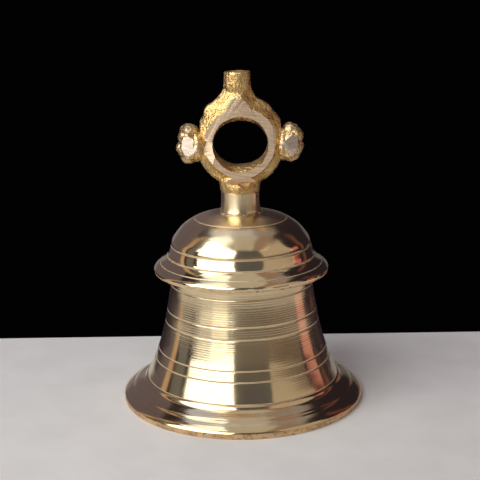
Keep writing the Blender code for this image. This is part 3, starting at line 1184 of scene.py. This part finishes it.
@dataclass
class HangerCasting:
    """Stem, ring, neck and stub: cast rough in one, its flats filed, its lower stem turned."""

    center: Point = (0.5, 149.0)
    hole_radius: float = 15.7
    hole_waist: float = 15.1
    ring_radius: float = 26.0
    half_depth: float = 8.9
    chamfer: tuple[Point, ...] = ((6.6, 8.9), (4.2, 6.8), (1.7, 4.05), (0.1, 1.6))
    stretches: tuple[RingStretch, ...] = (
        RingStretch((0.0, 15.6), (0.0, 5.34), NO_LIMIT, (1.02, 1.0, 0.84)),
        RingStretch((0.0, 16.0), (8.01, NO_LIMIT), NO_LIMIT, (1.0, 1.0, 1.03)),
        RingStretch((17.0, NO_LIMIT), (6.23, NO_LIMIT), 0.0, (0.95, 1.0, 0.95)),
        RingStretch((19.0, NO_LIMIT), (0.0, NO_LIMIT), 4.0, (0.955, 1.0, 0.955)),
    )
    seat: float = 22.4
    web: tuple[Point, ...] = (
        (-19.6, 164.0), (-19.4, 168.0), (-17.9, 170.0), (-14.7, 172.2), (-11.8, 174.6), (-9.6, 177.4),
        (-8.6, 180.0), (-8.4, 183.0), (6.7, 183.0), (6.9, 180.0), (7.7, 177.4), (9.8, 174.6), (13.4, 172.3),
        (16.2, 170.8), (18.4, 168.0), (19.2, 164.0),
    )
    swells: tuple[Point, ...] = (
        (1.4, 2.0), (2.2, 1.6), (2.8, 1.42), (5.0, 1.0), (2.8, 1 / 1.42), (2.2, 1 / 1.6), (1.4, 1 / 2.0),
    )
    web_front: Triple = (0.22, 1.0, 0.80)
    web_pivot: Point = (-1.0, 171.0)
    web_taper: tuple[Point, ...] = ((172.5, 0.93), (175.5, 0.90), (178.0, 0.86), (180.5, 0.86))
    stem_taper: tuple[Point, ...] = ((125.5, 0.94), (127.5, 0.88), (129.5, 0.80))
    stub_top: float = 189.0
    stub_radius: float = 7.4
    stub_lean: float = -0.9
    stem_joint: float = 122.4
    foot: float = 109.5
    grain: float = 0.00044
    roughness: tuple[Point, ...] = ((0.0060, 0.0007), (0.0020, 0.00040), (0.0010, 0.00036))
    front_cuts: tuple[FileCut, ...] = (
        FileCut(0.5, 158.5, 8.05, 60.0, 58.0, turn=0.6, lean=0.3),
        FileCut(-17.0, 142.5, 7.1, 9.0, 16.0, turn=-21.0, lean=6.0, spin=16.0),
        FileCut(6.5, 132.5, 7.75, 30.0, 9.0, turn=2.5, lean=-7.0, spin=-5.0),
        FileCut(19.5, 147.0, 7.9, 10.0, 26.0, turn=7.0, lean=1.0),
        FileCut(2.2, 128.6, 9.1, 6.4, 6.4, turn=6.0, lean=-19.0, spin=42.0),
        FileCut(10.5, 176.0, 4.6, 5.0, 6.5, turn=34.0, lean=24.0),
    )
    back_cuts: tuple[FileCut, ...] = (
        FileCut(0.5, 158.5, 8.1, 60.0, 58.0, turn=-0.8, lean=-0.9),
        FileCut(-2.0, 128.0, 9.0, 9.0, 14.0, turn=-4.0, lean=-12.0, spin=6.0),
        FileCut(14.0, 137.0, 7.7, 12.0, 12.0, turn=-9.0, lean=-8.0, spin=30.0),
    )

    def section(self) -> list[Vector]:
        """Draws the ring's section right of its centre.

        Returns:
            The section's points, in metres.
        """
        deep, mid, wall = self.half_depth, self.half_depth * 0.5, self.hole_waist
        inner = [(self.hole_radius, -deep), (wall + 0.3, -mid), (wall, 0.0), (wall + 0.3, mid)]
        back = [(self.ring_radius - inset, depth) for inset, depth in self.chamfer]
        front = [(radius, -depth) for radius, depth in reversed(back)]
        x, z = self.center
        outline = [*inner, (self.hole_radius, deep), *back, *front]
        return [Vector(((x + r) * MM, y * MM, z * MM)) for r, y in outline]

    def ring(self) -> bpy.types.Object:
        """Spins the ring about its own axis, pinches its hole and cuts its sides to seats.

        Returns:
            The ring.
        """
        x, z = self.center
        middle = Vector((x * MM, 0.0, z * MM))
        ring = spun("ring", self.section(), 96, center=middle, axis=Vector((0, 1, 0)))
        with edit_mode(ring):
            for stretch in self.stretches:
                pick_verts(ring, lambda place, stretch=stretch: stretch.holds(place, middle))
                bpy.ops.transform.resize(value=stretch.size, center_override=middle)
            for side in (-1, 1):
                bpy.ops.mesh.select_all(action="SELECT")
                bpy.ops.mesh.bisect(
                    plane_co=((x + side * self.seat) * MM, 0, 0), plane_no=(side, 0, 0), use_fill=True,
                    clear_outer=True,
                )
        return ring

    def neck(self) -> bpy.types.Object:
        """Makes the web between the ring's shoulders and the stub, thinner towards its edges.

        Returns:
            The web.
        """
        lay_down_all()
        bpy.ops.mesh.primitive_plane_add(size=MM)
        web = bpy.context.object
        outline = [Vector((x * MM, 0.0, z * MM)) for x, z in self.web]
        pivot = Vector((self.web_pivot[0] * MM, 0.0, self.web_pivot[1] * MM))
        with edit_mode(web):
            bpy.ops.mesh.merge(type="CENTER")
            bpy.ops.transform.translate(value=outline[0])
            extrude_along(outline)
            bpy.ops.mesh.select_all(action="SELECT")
            bpy.ops.mesh.edge_face_add()
            bpy.ops.transform.translate(value=(0, -self.half_depth * MM, 0))
            bpy.ops.transform.resize(value=self.web_front, center_override=pivot)
            for depth, swell in self.swells:
                bpy.ops.mesh.extrude_region_move(TRANSFORM_OT_translate={"value": (0, depth * MM, 0)})
                bpy.ops.transform.resize(value=(swell, 1.0, swell**0.147), center_override=pivot)
            taper(web, self.web_taper)
        tidy_surface(web)
        return web

    def stub(self) -> bpy.types.Object:
        """Makes the cut-off gate on top, its end dished and a little ragged.

        Returns:
            The stub.
        """
        low, top, r = self.web[7][1] - 4.5, self.stub_top, self.stub_radius
        profile = [
            (0.0, top - 1.0), (r * 0.45, top - 0.9), (r * 0.8, top - 0.35), (r * 0.94, top - 0.05),
            (r, top - 0.45), (r - 0.05, top - 5.0), (r + 0.1, low + 3.0), (r - 0.4, low),
            (r - 2.6, low - 4.0), (0.0, low - 7.0),
        ]
        stub = turned("stub", profile, 56, closed=False)
        with edit_mode(stub):
            bpy.ops.transform.translate(value=(self.stub_lean * MM, 0, 0))
        return stub

    def rough_stem(self) -> bpy.types.Object:
        """Makes the part of the stem that the tool didn't reach, thinned where it meets the ring.

        Returns:
            The upper stem.
        """
        low = self.stem_joint - 3.2
        profile = [
            (0.0, 132.5), (9.0, 132.0), (12.4, 130.4), (12.3, 128.4), (11.7, 126.4), (11.3, 124.6),
            (11.15, 123.2), (10.95, 121.9), (10.4, 120.6), (9.0, low), (0.0, low),
        ]
        stem = turned("rough_stem", profile, 64, closed=False)
        with edit_mode(stem):
            taper(stem, self.stem_taper)
        return stem

    def turned_stem(self) -> bpy.types.Object:
        """Turns the polished lower stem, drawn in at its middle and flared at the foot.

        Returns:
            The lower stem.
        """
        foot, joint = self.foot, self.stem_joint
        outside = smooth_run(
            ((10.3, joint + 0.4), (10.85, joint - 0.6), (10.85, 119.0), (10.95, 115.0), (11.25, 112.0),
             (11.6, foot + 1.0), (11.65, foot)), 5,
        )
        bore = [(BORE_RADIUS, foot), (BORE_RADIUS, joint + 0.8)]
        stem = turned("hanger_stem", outside + bore, 144)
        dress(stem, 50, TurnedFinish("turned_brass_stem", rings=1300.0, gloss=(0.24, 0.36)))
        return present(stem, Body.BELL, Slot.CAST_BRASS, note="turned with the dome")

    def is_filed(self, center: Vector, normal: Vector) -> int:
        """Says whether a face was filed.

        Args:
            center: The face's centre, in metres.
            normal: The face's normal.

        Returns:
            0 for a cast face, 1 for a filed one.
        """
        side = -1 if center.y < 0 else 1
        cuts = self.front_cuts if side < 0 else self.back_cuts
        return int(any(cut.holds(center, normal, side) for cut in cuts))

    def build(self) -> None:
        """Casts, files and dresses the hanger, and turns its lower stem."""
        lumps = [self.ring(), self.neck(), self.stub(), self.rough_stem()]
        hanger = joined("hanger_ring", lumps)
        cast_together(hanger, self.grain, 5)
        for lump, depth in self.roughness:
            roughen(hanger, lump, depth)
        for side, cuts in ((-1, self.front_cuts), (1, self.back_cuts)):
            for cut in cuts:
                cut_away(hanger, cut.cutter(side))
        shade(hanger, 30)
        paint_faces(
            hanger,
            [
                CastFinish("cast_hanger_brass", grain=1150.0, gloss=(0.26, 0.46), depth=0.00034),
                FiledFinish("filed_flats"),
            ],
            self.is_filed,
        )
        present(hanger, Body.BELL, Slot.CAST_BRASS, "hanger_casting", note="cast and filed")
        self.turned_stem()


@dataclass
class Rosette:
    """A petalled knob brazed to one side of the ring, an oval boss on each face."""

    name: str
    node: str
    side: int
    middle: Point = (28.7, 148.6)
    half_size: Triple = (6.0, 5.2, 11.0)
    petals: int = 6
    first_petal: float = 0.35
    petal_size: Triple = (3.4, 5.9, 4.6)
    petal_reach: Point = (3.5, 7.9)
    petal_change: float = 0.12
    boss_size: Triple = (4.9, 4.0, 7.6)
    boss_depth: float = 4.9
    boss_lift: float = -1.0
    foot_size: Triple = (4.4, 8.3, 9.2)
    foot_place: Point = (4.6, -0.8)
    shift: float = 0.3
    grain: float = 0.00034
    roughness: tuple[Point, ...] = ((0.0036, 0.0013), (0.0014, 0.0005))

    def cut(self) -> FileCut:
        """Says how the file passes over a boss, leaning outwards.

        Returns:
            The flat that it leaves.
        """
        x, z = self.middle
        place = (self.side * x + self.shift, z + self.boss_lift)
        return FileCut(*place, 7.6, 10.5, 16.0, turn=self.side * 7.0, lean=4.0)

    def lump(self, place: Vector, size: Sequence[float], tilt: float = 0.0) -> bpy.types.Object:
        """An egg of metal.

        Args:
            place: Its centre, in millimetres.
            size: Its half-sizes, in millimetres.
            tilt: How far it leans about Y, in degrees.

        Returns:
            The egg.
        """
        lay_down_all()
        bpy.ops.mesh.primitive_uv_sphere_add(
            segments=28, ring_count=18, radius=MM, location=place * MM, scale=size,
            rotation=(0, math.radians(tilt), 0),
        )
        egg = bpy.context.object
        settle(egg)
        return egg

    def lumps(self) -> list[bpy.types.Object]:
        """Lays the eggs that the rosette is made of.

        Returns:
            The disc, its petals, the bosses on both faces, and the foot on the ring.
        """
        x, z = self.middle
        centre = Vector((self.side * x + self.shift, 0.0, z))
        parts = [self.lump(centre, self.half_size)]
        for petal in range(self.petals):
            angle = FULL_TURN * (petal + self.first_petal) / self.petals
            swell = 1.0 + self.petal_change * math.sin(2.7 * petal + self.side)
            wide, tall = self.petal_reach
            reach = Vector((math.cos(angle) * wide, 0.0, math.sin(angle) * tall))
            size = [half * swell for half in self.petal_size]
            parts.append(self.lump(centre + reach, size, -math.degrees(angle)))
        for face in (-1, 1):
            boss = centre + Vector((-self.side * self.shift, face * self.boss_depth, self.boss_lift))
            parts.append(self.lump(boss, self.boss_size, 6.0 * self.side))
        inward, rise = self.foot_place
        parts.append(self.lump(centre + Vector((-self.side * inward, 0.0, rise)), self.foot_size))
        return parts

    def build(self) -> bpy.types.Object:
        """Casts and dresses the rosette.

        Returns:
            The rosette.
        """
        knob = joined(self.name, self.lumps())
        cast_together(knob, self.grain, 4)
        for lump, depth in self.roughness:
            roughen(knob, lump, depth)
        cut = self.cut()
        for side in (-1, 1):
            cut_away(knob, cut.cutter(side))
        shade(knob, 32)
        skin = CastFinish(
            f"{self.name}_skin", metal=(0.94, 0.77, 0.46), hollow=(0.50, 0.31, 0.13), grain=1100.0,
            gloss=(0.26, 0.46), depth=0.00034,
        )
        flat = FiledFinish(
            f"{self.name}_flat", metal=(0.97, 0.86, 0.74), groove=(0.74, 0.60, 0.45), gloss=0.36,
            strokes=1100.0, slant=-0.3,
        )
        paint_faces(
            knob,
            [skin, flat],
            lambda center, normal: int(cut.holds(center, normal, -1 if center.y < 0 else 1)),
        )
        return present(knob, Body.BELL, Slot.CAST_BRASS, self.node, note="knob, petals and boss")


@dataclass
class FootBraze:
    """The bead of filler metal round the stem's foot."""

    inner: float = 11.75
    foot: float = 109.25
    bead: float = 0.62
    roughness: tuple[Point, ...] = ((0.0016, 0.0011), (0.0007, 0.0005))

    def build(self) -> bpy.types.Object:
        """Runs and dresses the bead.

        Returns:
            The bead.
        """
        section = arc_run(self.foot, self.bead, 80.0, 0.0, 6)
        profile = [(self.inner, self.foot), (self.inner, self.foot + 0.7)]
        profile += [(self.inner + 0.05 + r, z) for r, z in section]
        bead = turned("foot_bead", profile, 160)
        mark_verts(bead, "free", lambda place: place.z > (self.foot + 0.3) * MM)
        for lump, depth in self.roughness:
            roughen(bead, lump, depth, "free")
        finish = CastFinish("braze_filler", metal=(0.72, 0.58, 0.38), hollow=(0.26, 0.17, 0.10), grain=1300.0)
        dress(bead, 40, finish)
        return present(bead, Body.BELL, Slot.BRAZE_METAL, "foot_braze", note="filler metal")


# --- What hangs inside ---


def bent_wire(name: str, radius: float, wire: float, height: float, hole_along: str) -> bpy.types.Object:
    """Bends a ring of round bar.

    Args:
        name: The new object's name.
        radius: The ring's radius to the middle of the bar, in millimetres.
        wire: The bar's radius, in millimetres.
        height: The height of the ring's centre, in millimetres.
        hole_along: "X" or "Y", the way that one looks through it.

    Returns:
        The ring.
    """
    turn = (0, math.pi / 2, 0) if hole_along == "X" else (math.pi / 2, 0, 0)
    lay_down_all()
    bpy.ops.mesh.primitive_torus_add(
        major_radius=radius * MM, minor_radius=wire * MM, major_segments=72, minor_segments=22,
        location=(0, 0, height * MM), rotation=turn,
    )
    ring = named(bpy.context.object, name)
    settle(ring)
    return ring


@dataclass
class CrownFastening:
    """Eye bolt, washer and nut: what draws the hanger down on the crown, and holds the link."""

    bolt_radius: float = 4.0
    thread_pitch: float = 1.25
    thread_depth: float = 0.42
    eye_radius: float = 6.5
    eye_wire: float = 2.0
    eye_height: float = 86.0
    washer_top: float = 102.9
    washer_radius: float = 9.4
    washer_thickness: float = 1.4
    nut_top: float = 101.2
    nut_bottom: float = 94.9
    nut_across_flats: float = 12.9
    edge: float = 0.35

    def threads(self) -> list[Point]:
        """Draws the bolt's side, cut with ridges a pitch apart.

        Returns:
            The side's points, top to bottom.
        """
        side = []
        ridge = 122.0
        while ridge > self.nut_bottom + 0.4:
            side.append((self.bolt_radius, ridge))
            side.append((self.bolt_radius - self.thread_depth, ridge - self.thread_pitch / 2))
            ridge -= self.thread_pitch
        return side

    def eye_bolt(self) -> bpy.types.Object:
        """Forges the threaded bar with its closed eye.

        Returns:
            The bolt.
        """
        eye_top = self.eye_height + self.eye_radius
        shank = [(0.0, 123.0), (self.bolt_radius - 0.8, 123.0), *self.threads()]
        shank += [(self.bolt_radius - 0.2, self.nut_bottom), (3.1, eye_top + 0.6), (2.6, eye_top - 0.2),
                  (0.0, eye_top - 0.6)]
        bar = turned("bar", shank, 48, closed=False)
        eye = bent_wire("eye", self.eye_radius, self.eye_wire, self.eye_height, "Y")
        bolt = joined("crown_eye_bolt", [bar, eye])
        dress(bolt, 40, IronFinish("forged_bolt_iron"))
        return present(bolt, Body.BELL, Slot.FORGED_IRON, "eye_bolt", note="threaded, with a closed eye")

    def washer(self) -> bpy.types.Object:
        """Turns the washer, its outer edges cut off a little.

        Returns:
            The washer.
        """
        top, low = self.washer_top, self.washer_top - self.washer_thickness
        r, edge = self.washer_radius, self.edge
        rim = [(r - edge, top), (r, top - edge), (r, low + edge), (r - edge, low)]
        washer = turned("crown_seat_washer", [(BORE_RADIUS, top), *rim, (BORE_RADIUS, low)], 80)
        dress(washer, 50, self.plating("plated_washer"))
        return present(washer, Body.BELL, Slot.PLATED_STEEL, "crown_washer")

    def nut(self) -> bpy.types.Object:
        """Cuts the nut: six flats, its bore turned out, its corners rounded by a bevel.

        Returns:
            The nut.
        """
        lay_down_all()
        corner = self.nut_across_flats / math.sqrt(3)
        height = self.nut_top - self.nut_bottom
        bpy.ops.mesh.primitive_cylinder_add(
            vertices=6, radius=corner * MM, depth=height * MM,
            location=(0, 0, (self.nut_top + self.nut_bottom) / 2 * MM),
        )
        nut = bpy.context.object
        nut.name = "crown_lock_nut"
        settle(nut)
        drill = [(0.0, 104.0), (BORE_RADIUS, 104.0), (BORE_RADIUS, 92.0), (0.0, 92.0)]
        cut_away(nut, turned("nut_bore", drill, 48, closed=False))
        bevel = nut.modifiers.new("rounded", "BEVEL")
        bevel.width = 0.00045
        bevel.segments = 3
        bevel.limit_method = "ANGLE"
        bevel.angle_limit = math.radians(40)
        apply_modifiers(nut)
        dress(nut, 40, self.plating("plated_nut"))
        return present(nut, Body.BELL, Slot.PLATED_STEEL, "crown_nut")

    @staticmethod
    def plating(name: str) -> IronFinish:
        """Picks dull zinc with a trace of rust.

        Args:
            name: The material's name.

        Returns:
            The finish.
        """
        return IronFinish(
            name, scale_tone=(0.42, 0.42, 0.41), bare=(0.62, 0.61, 0.58), rust_share=0.18, gloss=(0.3, 0.5),
            depth=0.00004,
        )

    def build(self) -> None:
        """Makes the three pieces."""
        self.eye_bolt()
        self.washer()
        self.nut()


@dataclass
class ClapperLink:
    """The closed ring between the bolt's eye and the rod's eye."""

    radius: float = 6.5
    wire: float = 1.72
    height: float = 77.05
    weld_half_length: float = 0.8
    weld_swell: float = 1.09

    def on_weld(self, place: Vector) -> bool:
        """Whether a vertex lies on the weld, at the back of the ring."""
        return place.y > 4.8 * MM and abs(place.z - self.height * MM) < self.weld_half_length * MM

    def build(self) -> bpy.types.Object:
        """Bends, welds and dresses the ring.

        Returns:
            The ring.
        """
        link = bent_wire("hanging_link", self.radius, self.wire, self.height, "X")
        with edit_mode(link):
            pick_verts(link, self.on_weld)
            seam = Vector((0, self.radius * MM, self.height * MM))
            swell = (self.weld_swell, self.weld_swell, 1.0)
            bpy.ops.transform.resize(value=swell, center_override=seam)
        dress(link, 60, IronFinish("forged_link_iron", rust_share=0.6))
        return present(link, Body.LINK, Slot.FORGED_IRON, "clapper_link", note="welded at one side")


@dataclass
class Clapper:
    """Rod, ball and rivet washer: what swings and strikes."""

    eye_radius: float = 5.3
    eye_wire: float = 2.0
    eye_height: float = 69.3
    rod_radius: float = 2.5
    shoulder_radius: float = 4.2
    ball_radius: float = 13.0
    ball_height: float = 20.0
    ball_flat: float = 12.4
    rivet_radius: float = 3.9
    rivet_top: float = 5.8
    rivet_edge: float = 0.2
    rivet_squash: float = 0.45

    def hammered_side(self, top: float) -> list[Point]:
        """Draws the bar's hammered side, a little uneven, down from the eye."""
        return [(self.rod_radius - 0.1 + 0.12 * math.sin(i * 1.9), top - 3.0 - i * 2.4) for i in range(11)]

    def rivet(self) -> list[Point]:
        """Draws the head that the end is hammered to, a squashed half ball.

        Returns:
            The head's points, top to bottom.
        """
        edge = self.rivet_top - self.rivet_edge
        head = arc_run(edge, self.rivet_radius, 0.0, -90.0, 8)
        squashed = [(radius, edge + (height - edge) * self.rivet_squash) for radius, height in head]
        return [(self.rivet_radius, self.rivet_top), *squashed[:-1], (0.0, squashed[-1][1])]

    def rod(self) -> bpy.types.Object:
        """Forges the rod, its eye, its shoulder and its riveted end.

        Returns:
            The rod.
        """
        top = self.eye_height - self.eye_radius
        shoulder = self.ball_height + self.ball_flat + 0.3
        r, wide = self.rod_radius, self.shoulder_radius
        shank = [(0.0, top + 0.9), (1.6, top + 0.7), (r - 0.1, top - 0.9), *self.hammered_side(top)]
        shank += [(r, shoulder + 3.6), (wide - 0.5, shoulder + 2.6), (wide, shoulder + 1.9)]
        shank += [(wide, shoulder + 0.3), (wide - 0.3, shoulder), (r, shoulder), (r, self.rivet_top)]
        bar = turned("bar", shank + self.rivet(), 36, closed=False)
        eye = bent_wire("eye", self.eye_radius, self.eye_wire, self.eye_height, "Y")
        rod = joined("clapper_shaft", [bar, eye])
        dress(rod, 45, IronFinish("forged_rod_iron", rust_share=0.55))
        return present(rod, Body.CLAPPER, Slot.FORGED_IRON, "clapper_rod", note="riveted below")

    def ball(self) -> bpy.types.Object:
        """Casts the ball, with the mould's seam round it.

        Returns:
            The ball.
        """
        flat = math.degrees(math.asin(self.ball_flat / self.ball_radius))
        side = arc_run(self.ball_height, self.ball_radius - 0.12, flat - 1.0, -flat + 1.0, 56)
        seam = [(r + 0.1 * math.exp(-(((z - self.ball_height) / 0.35) ** 2)), z) for r, z in side]
        bore = self.rod_radius + 0.3
        top, low = self.ball_height + self.ball_flat, self.ball_height - self.ball_flat
        ball = turned("clapper_bob", [(bore, top), *seam, (bore, low)], 112)
        roughen(ball, 0.004, 0.00014)
        finish = CastFinish(
            "worn_ball_brass", metal=(0.74, 0.54, 0.27), hollow=(0.42, 0.27, 0.13), grain=420.0,
            pit_share=0.2, gloss=(0.22, 0.42), depth=0.00006,
        )
        dress(ball, 50, finish)
        return present(ball, Body.CLAPPER, Slot.CLAPPER_BRASS, "clapper_ball", note="cast")

    def washer(self) -> bpy.types.Object:
        """Turns the washer that the rod's end is riveted over.

        Returns:
            The washer.
        """
        section = [(2.8, 7.3), (5.3, 7.3), (5.6, 7.0), (5.6, 6.4), (5.3, 6.1), (2.8, 6.1)]
        washer = turned("rivet_seat_washer", section, 64)
        dress(washer, 50, IronFinish("rivet_washer_iron"))
        return present(washer, Body.CLAPPER, Slot.FORGED_IRON, "rivet_washer")

    def build(self) -> None:
        """Makes the three pieces."""
        self.rod()
        self.ball()
        self.washer()


# --- The studio ---


@dataclass(frozen=True)
class SoftBox:
    """A plain area light, upright on its stand and facing the bell's axis, or hung flat above it."""

    name: str
    azimuth: float
    height: float
    distance: float
    width: float
    tall: float
    radiance: float
    tint: Colour = (1.0, 1.0, 1.0)
    overhead: bool = False

    def build(self) -> bpy.types.Object:
        """Sets the light up; azimuth 0 is the camera's side, positive to its right.

        Returns:
            The light.
        """
        lamp = bpy.data.lights.new(self.name, "AREA")
        lamp.shape = "RECTANGLE"
        lamp.size = self.width
        lamp.size_y = self.tall
        lamp.energy = self.radiance * math.pi * self.width * self.tall
        lamp.color = self.tint
        light = bpy.data.objects.new(self.name, lamp)
        bpy.context.scene.collection.objects.link(light)
        turn = math.radians(self.azimuth)
        place = Vector((math.sin(turn) * self.distance, -math.cos(turn) * self.distance, self.height))
        upright = Vector((-place.x, -place.y, 0.0)).to_track_quat("-Z", "Y").to_matrix().to_4x4()
        light.matrix_world = Matrix.Translation(place) @ (Matrix.Identity(4) if self.overhead else upright)
        light.visible_camera = False
        return light


@dataclass
class Studio:
    """Pale floor, soft lights, dim surroundings and the camera."""

    floor_front: float = 0.55
    floor_side: float = 0.75
    floor_back: float = 0.102
    surroundings: Colour = (0.022, 0.016, 0.024)
    beyond_table: Colour = (0.0006, 0.0006, 0.0007)
    camera_distance: float = 0.61264
    camera_height: float = 0.24594
    camera_side: float = -0.0005
    pitch: float = 14.05
    roll: float = -0.83
    lens: float = 82.465
    cloth_tones: tuple[Colour, Colour] = ((0.655, 0.65, 0.65), (0.715, 0.712, 0.718))
    boxes: tuple[SoftBox, ...] = (
        SoftBox("key_softbox", -46.0, 0.86, 0.75, 1.04, 0.74, 4.4, (1.0, 0.985, 0.95)),
        SoftBox("key_low", -42.0, 0.32, 0.75, 0.88, 0.34, 2.5, (1.0, 0.985, 0.95)),
        SoftBox("key_foot_near", -32.0, 0.07, 0.75, 0.30, 0.16, 1.0, (1.0, 0.96, 0.88)),
        SoftBox("key_foot_far", -53.0, 0.07, 0.75, 0.30, 0.16, 0.42),
        SoftBox("top_softbox", -70.7, 1.22, 0.53, 0.60, 0.55, 1.55, (0.94, 0.97, 1.0), overhead=True),
        SoftBox("middle_ceiling", 12.9, 1.22, 0.359, 0.56, 0.90, 0.46, (1.0, 0.92, 0.80), overhead=True),
        SoftBox("right_ceiling", 59.7, 1.22, 0.695, 0.50, 0.90, 0.26, (1.0, 0.70, 0.56), overhead=True),
        SoftBox("cool_ceiling", -155.8, 1.22, 0.44, 0.80, 0.60, 0.75, (0.70, 0.76, 1.0), overhead=True),
        SoftBox("back_right_ceiling", 138.0, 1.22, 0.54, 0.68, 0.60, 0.27, (1.0, 0.88, 0.90), overhead=True),
        SoftBox("back_high_wall", 180.0, 1.07, 1.2, 0.50, 0.48, 0.55, (1.0, 0.80, 0.72)),
        SoftBox("front_room", 12.0, 0.10, 0.95, 0.78, 0.44, 0.135, (1.0, 0.86, 0.70)),
        SoftBox("front_room_high", 12.0, 0.76, 0.95, 0.78, 0.88, 0.09, (0.90, 0.94, 1.0)),
        SoftBox("warm_wall", 63.0, 0.62, 0.75, 0.80, 0.84, 0.43, (1.0, 0.83, 0.66)),
        SoftBox("warm_wall_foot", 60.0, 0.09, 0.75, 0.70, 0.22, 0.12, (1.0, 0.75, 0.54)),
        SoftBox("left_gap", -87.0, 0.5, 0.9, 0.24, 1.3, 0.13),
        SoftBox("left_edge_glow", -102.0, 0.42, 0.50, 0.075, 0.84, 0.52, (1.0, 0.66, 0.40)),
        SoftBox("red_cloth", 95.5, 0.030, 0.36, 0.115, 0.06, 0.52, (1.0, 0.40, 0.34)),
        SoftBox("red_patch", 97.0, 0.275, 0.75, 0.22, 0.17, 0.55, (1.0, 0.30, 0.26)),
        SoftBox("rust_cloth", 134.0, 0.025, 0.36, 0.10, 0.05, 0.20, (1.0, 0.45, 0.28)),
        SoftBox("right_edge_glow", 116.5, 0.40, 0.75, 0.10, 0.76, 0.12, (1.0, 0.36, 0.17)),
        SoftBox("back_left_wall", -142.0, 0.5, 0.9, 1.2, 1.1, 0.115, (1.0, 0.84, 1.0)),
        SoftBox("low_back_wall", 180.0, 0.06, 1.3, 1.5, 0.30, 0.10, (1.0, 0.95, 0.9)),
    )

    def floor(self) -> bpy.types.Object:
        """Lays the pale cloth-grey table, its far edge not far behind the bell.

        Returns:
            The floor.
        """
        lay_down_all()
        bpy.ops.mesh.primitive_plane_add(size=1.0)
        floor = bpy.context.object
        floor.name = "floor"
        depth = self.floor_front + self.floor_back
        middle = (self.floor_back - self.floor_front) / 2
        with edit_mode(floor):
            bpy.ops.transform.resize(value=(2 * self.floor_side, depth, 1.0))
            bpy.ops.transform.translate(value=(0, middle, 0))
        material, desk, shader = start_material("pale_floor")
        shader.inputs["Roughness"].default_value = 0.9
        soft = desk.spread(desk.noise(desk.place(), scale=30.0, detail=6.0), low=0.3, high=0.7)
        feed(desk, shader, Base_Color=desk.mix(soft, *self.cloth_tones))
        floor.data.materials.append(material)
        return floor

    def world(self) -> None:
        """Dim surroundings that the brass mirrors, with nothing to see behind the table."""
        world = bpy.data.worlds.new("dim_studio")
        world.use_nodes = True
        desk = Desk(world.node_tree)
        seen = desk.add("LightPath").outputs["Is Camera Ray"]
        room = desk.mix(seen, self.surroundings, self.beyond_table)
        world.node_tree.links.new(room, world.node_tree.nodes["Background"].inputs["Color"])
        bpy.context.scene.world = world

    @staticmethod
    def develop() -> None:
        """Shows the picture as a plain camera would, with clear blacks."""
        bpy.context.scene.view_settings.view_transform = "Standard"

    def camera(self) -> bpy.types.Object:
        """Sets the camera up, looking down on the bell from the front.

        Returns:
            The camera.
        """
        lens = bpy.data.cameras.new("portrait_camera")
        lens.lens = self.lens
        lens.sensor_width = 36.0
        camera = bpy.data.objects.new("portrait_camera", lens)
        bpy.context.scene.collection.objects.link(camera)
        place = Matrix.Translation((self.camera_side, -self.camera_distance, self.camera_height))
        look = Matrix.Rotation(math.radians(90 - self.pitch), 4, "X")
        camera.matrix_world = place @ look @ Matrix.Rotation(math.radians(self.roll), 4, "Z")
        bpy.context.scene.camera = camera
        return camera

    def build(self) -> None:
        """Sets the studio up."""
        self.camera()
        self.floor()
        self.world()
        self.develop()
        for box in self.boxes:
            box.build()


def main() -> None:
    """Loads the frame, sets the studio up and makes each sub-assembly, logging each piece's face count."""
    logging.basicConfig(level=logging.INFO, format="%(name)s: %(message)s")
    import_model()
    Studio().build()
    BellCasting().build()
    HangerCasting().build()
    Rosette("left_knob", "rosette_left", -1).build()
    Rosette("right_knob", "rosette_right", 1, middle=(28.5, 149.0), first_petal=0.6).build()
    FootBraze().build()
    CrownFastening().build()
    ClapperLink().build()
    Clapper().build()


if __name__ == "__main__":
    main()
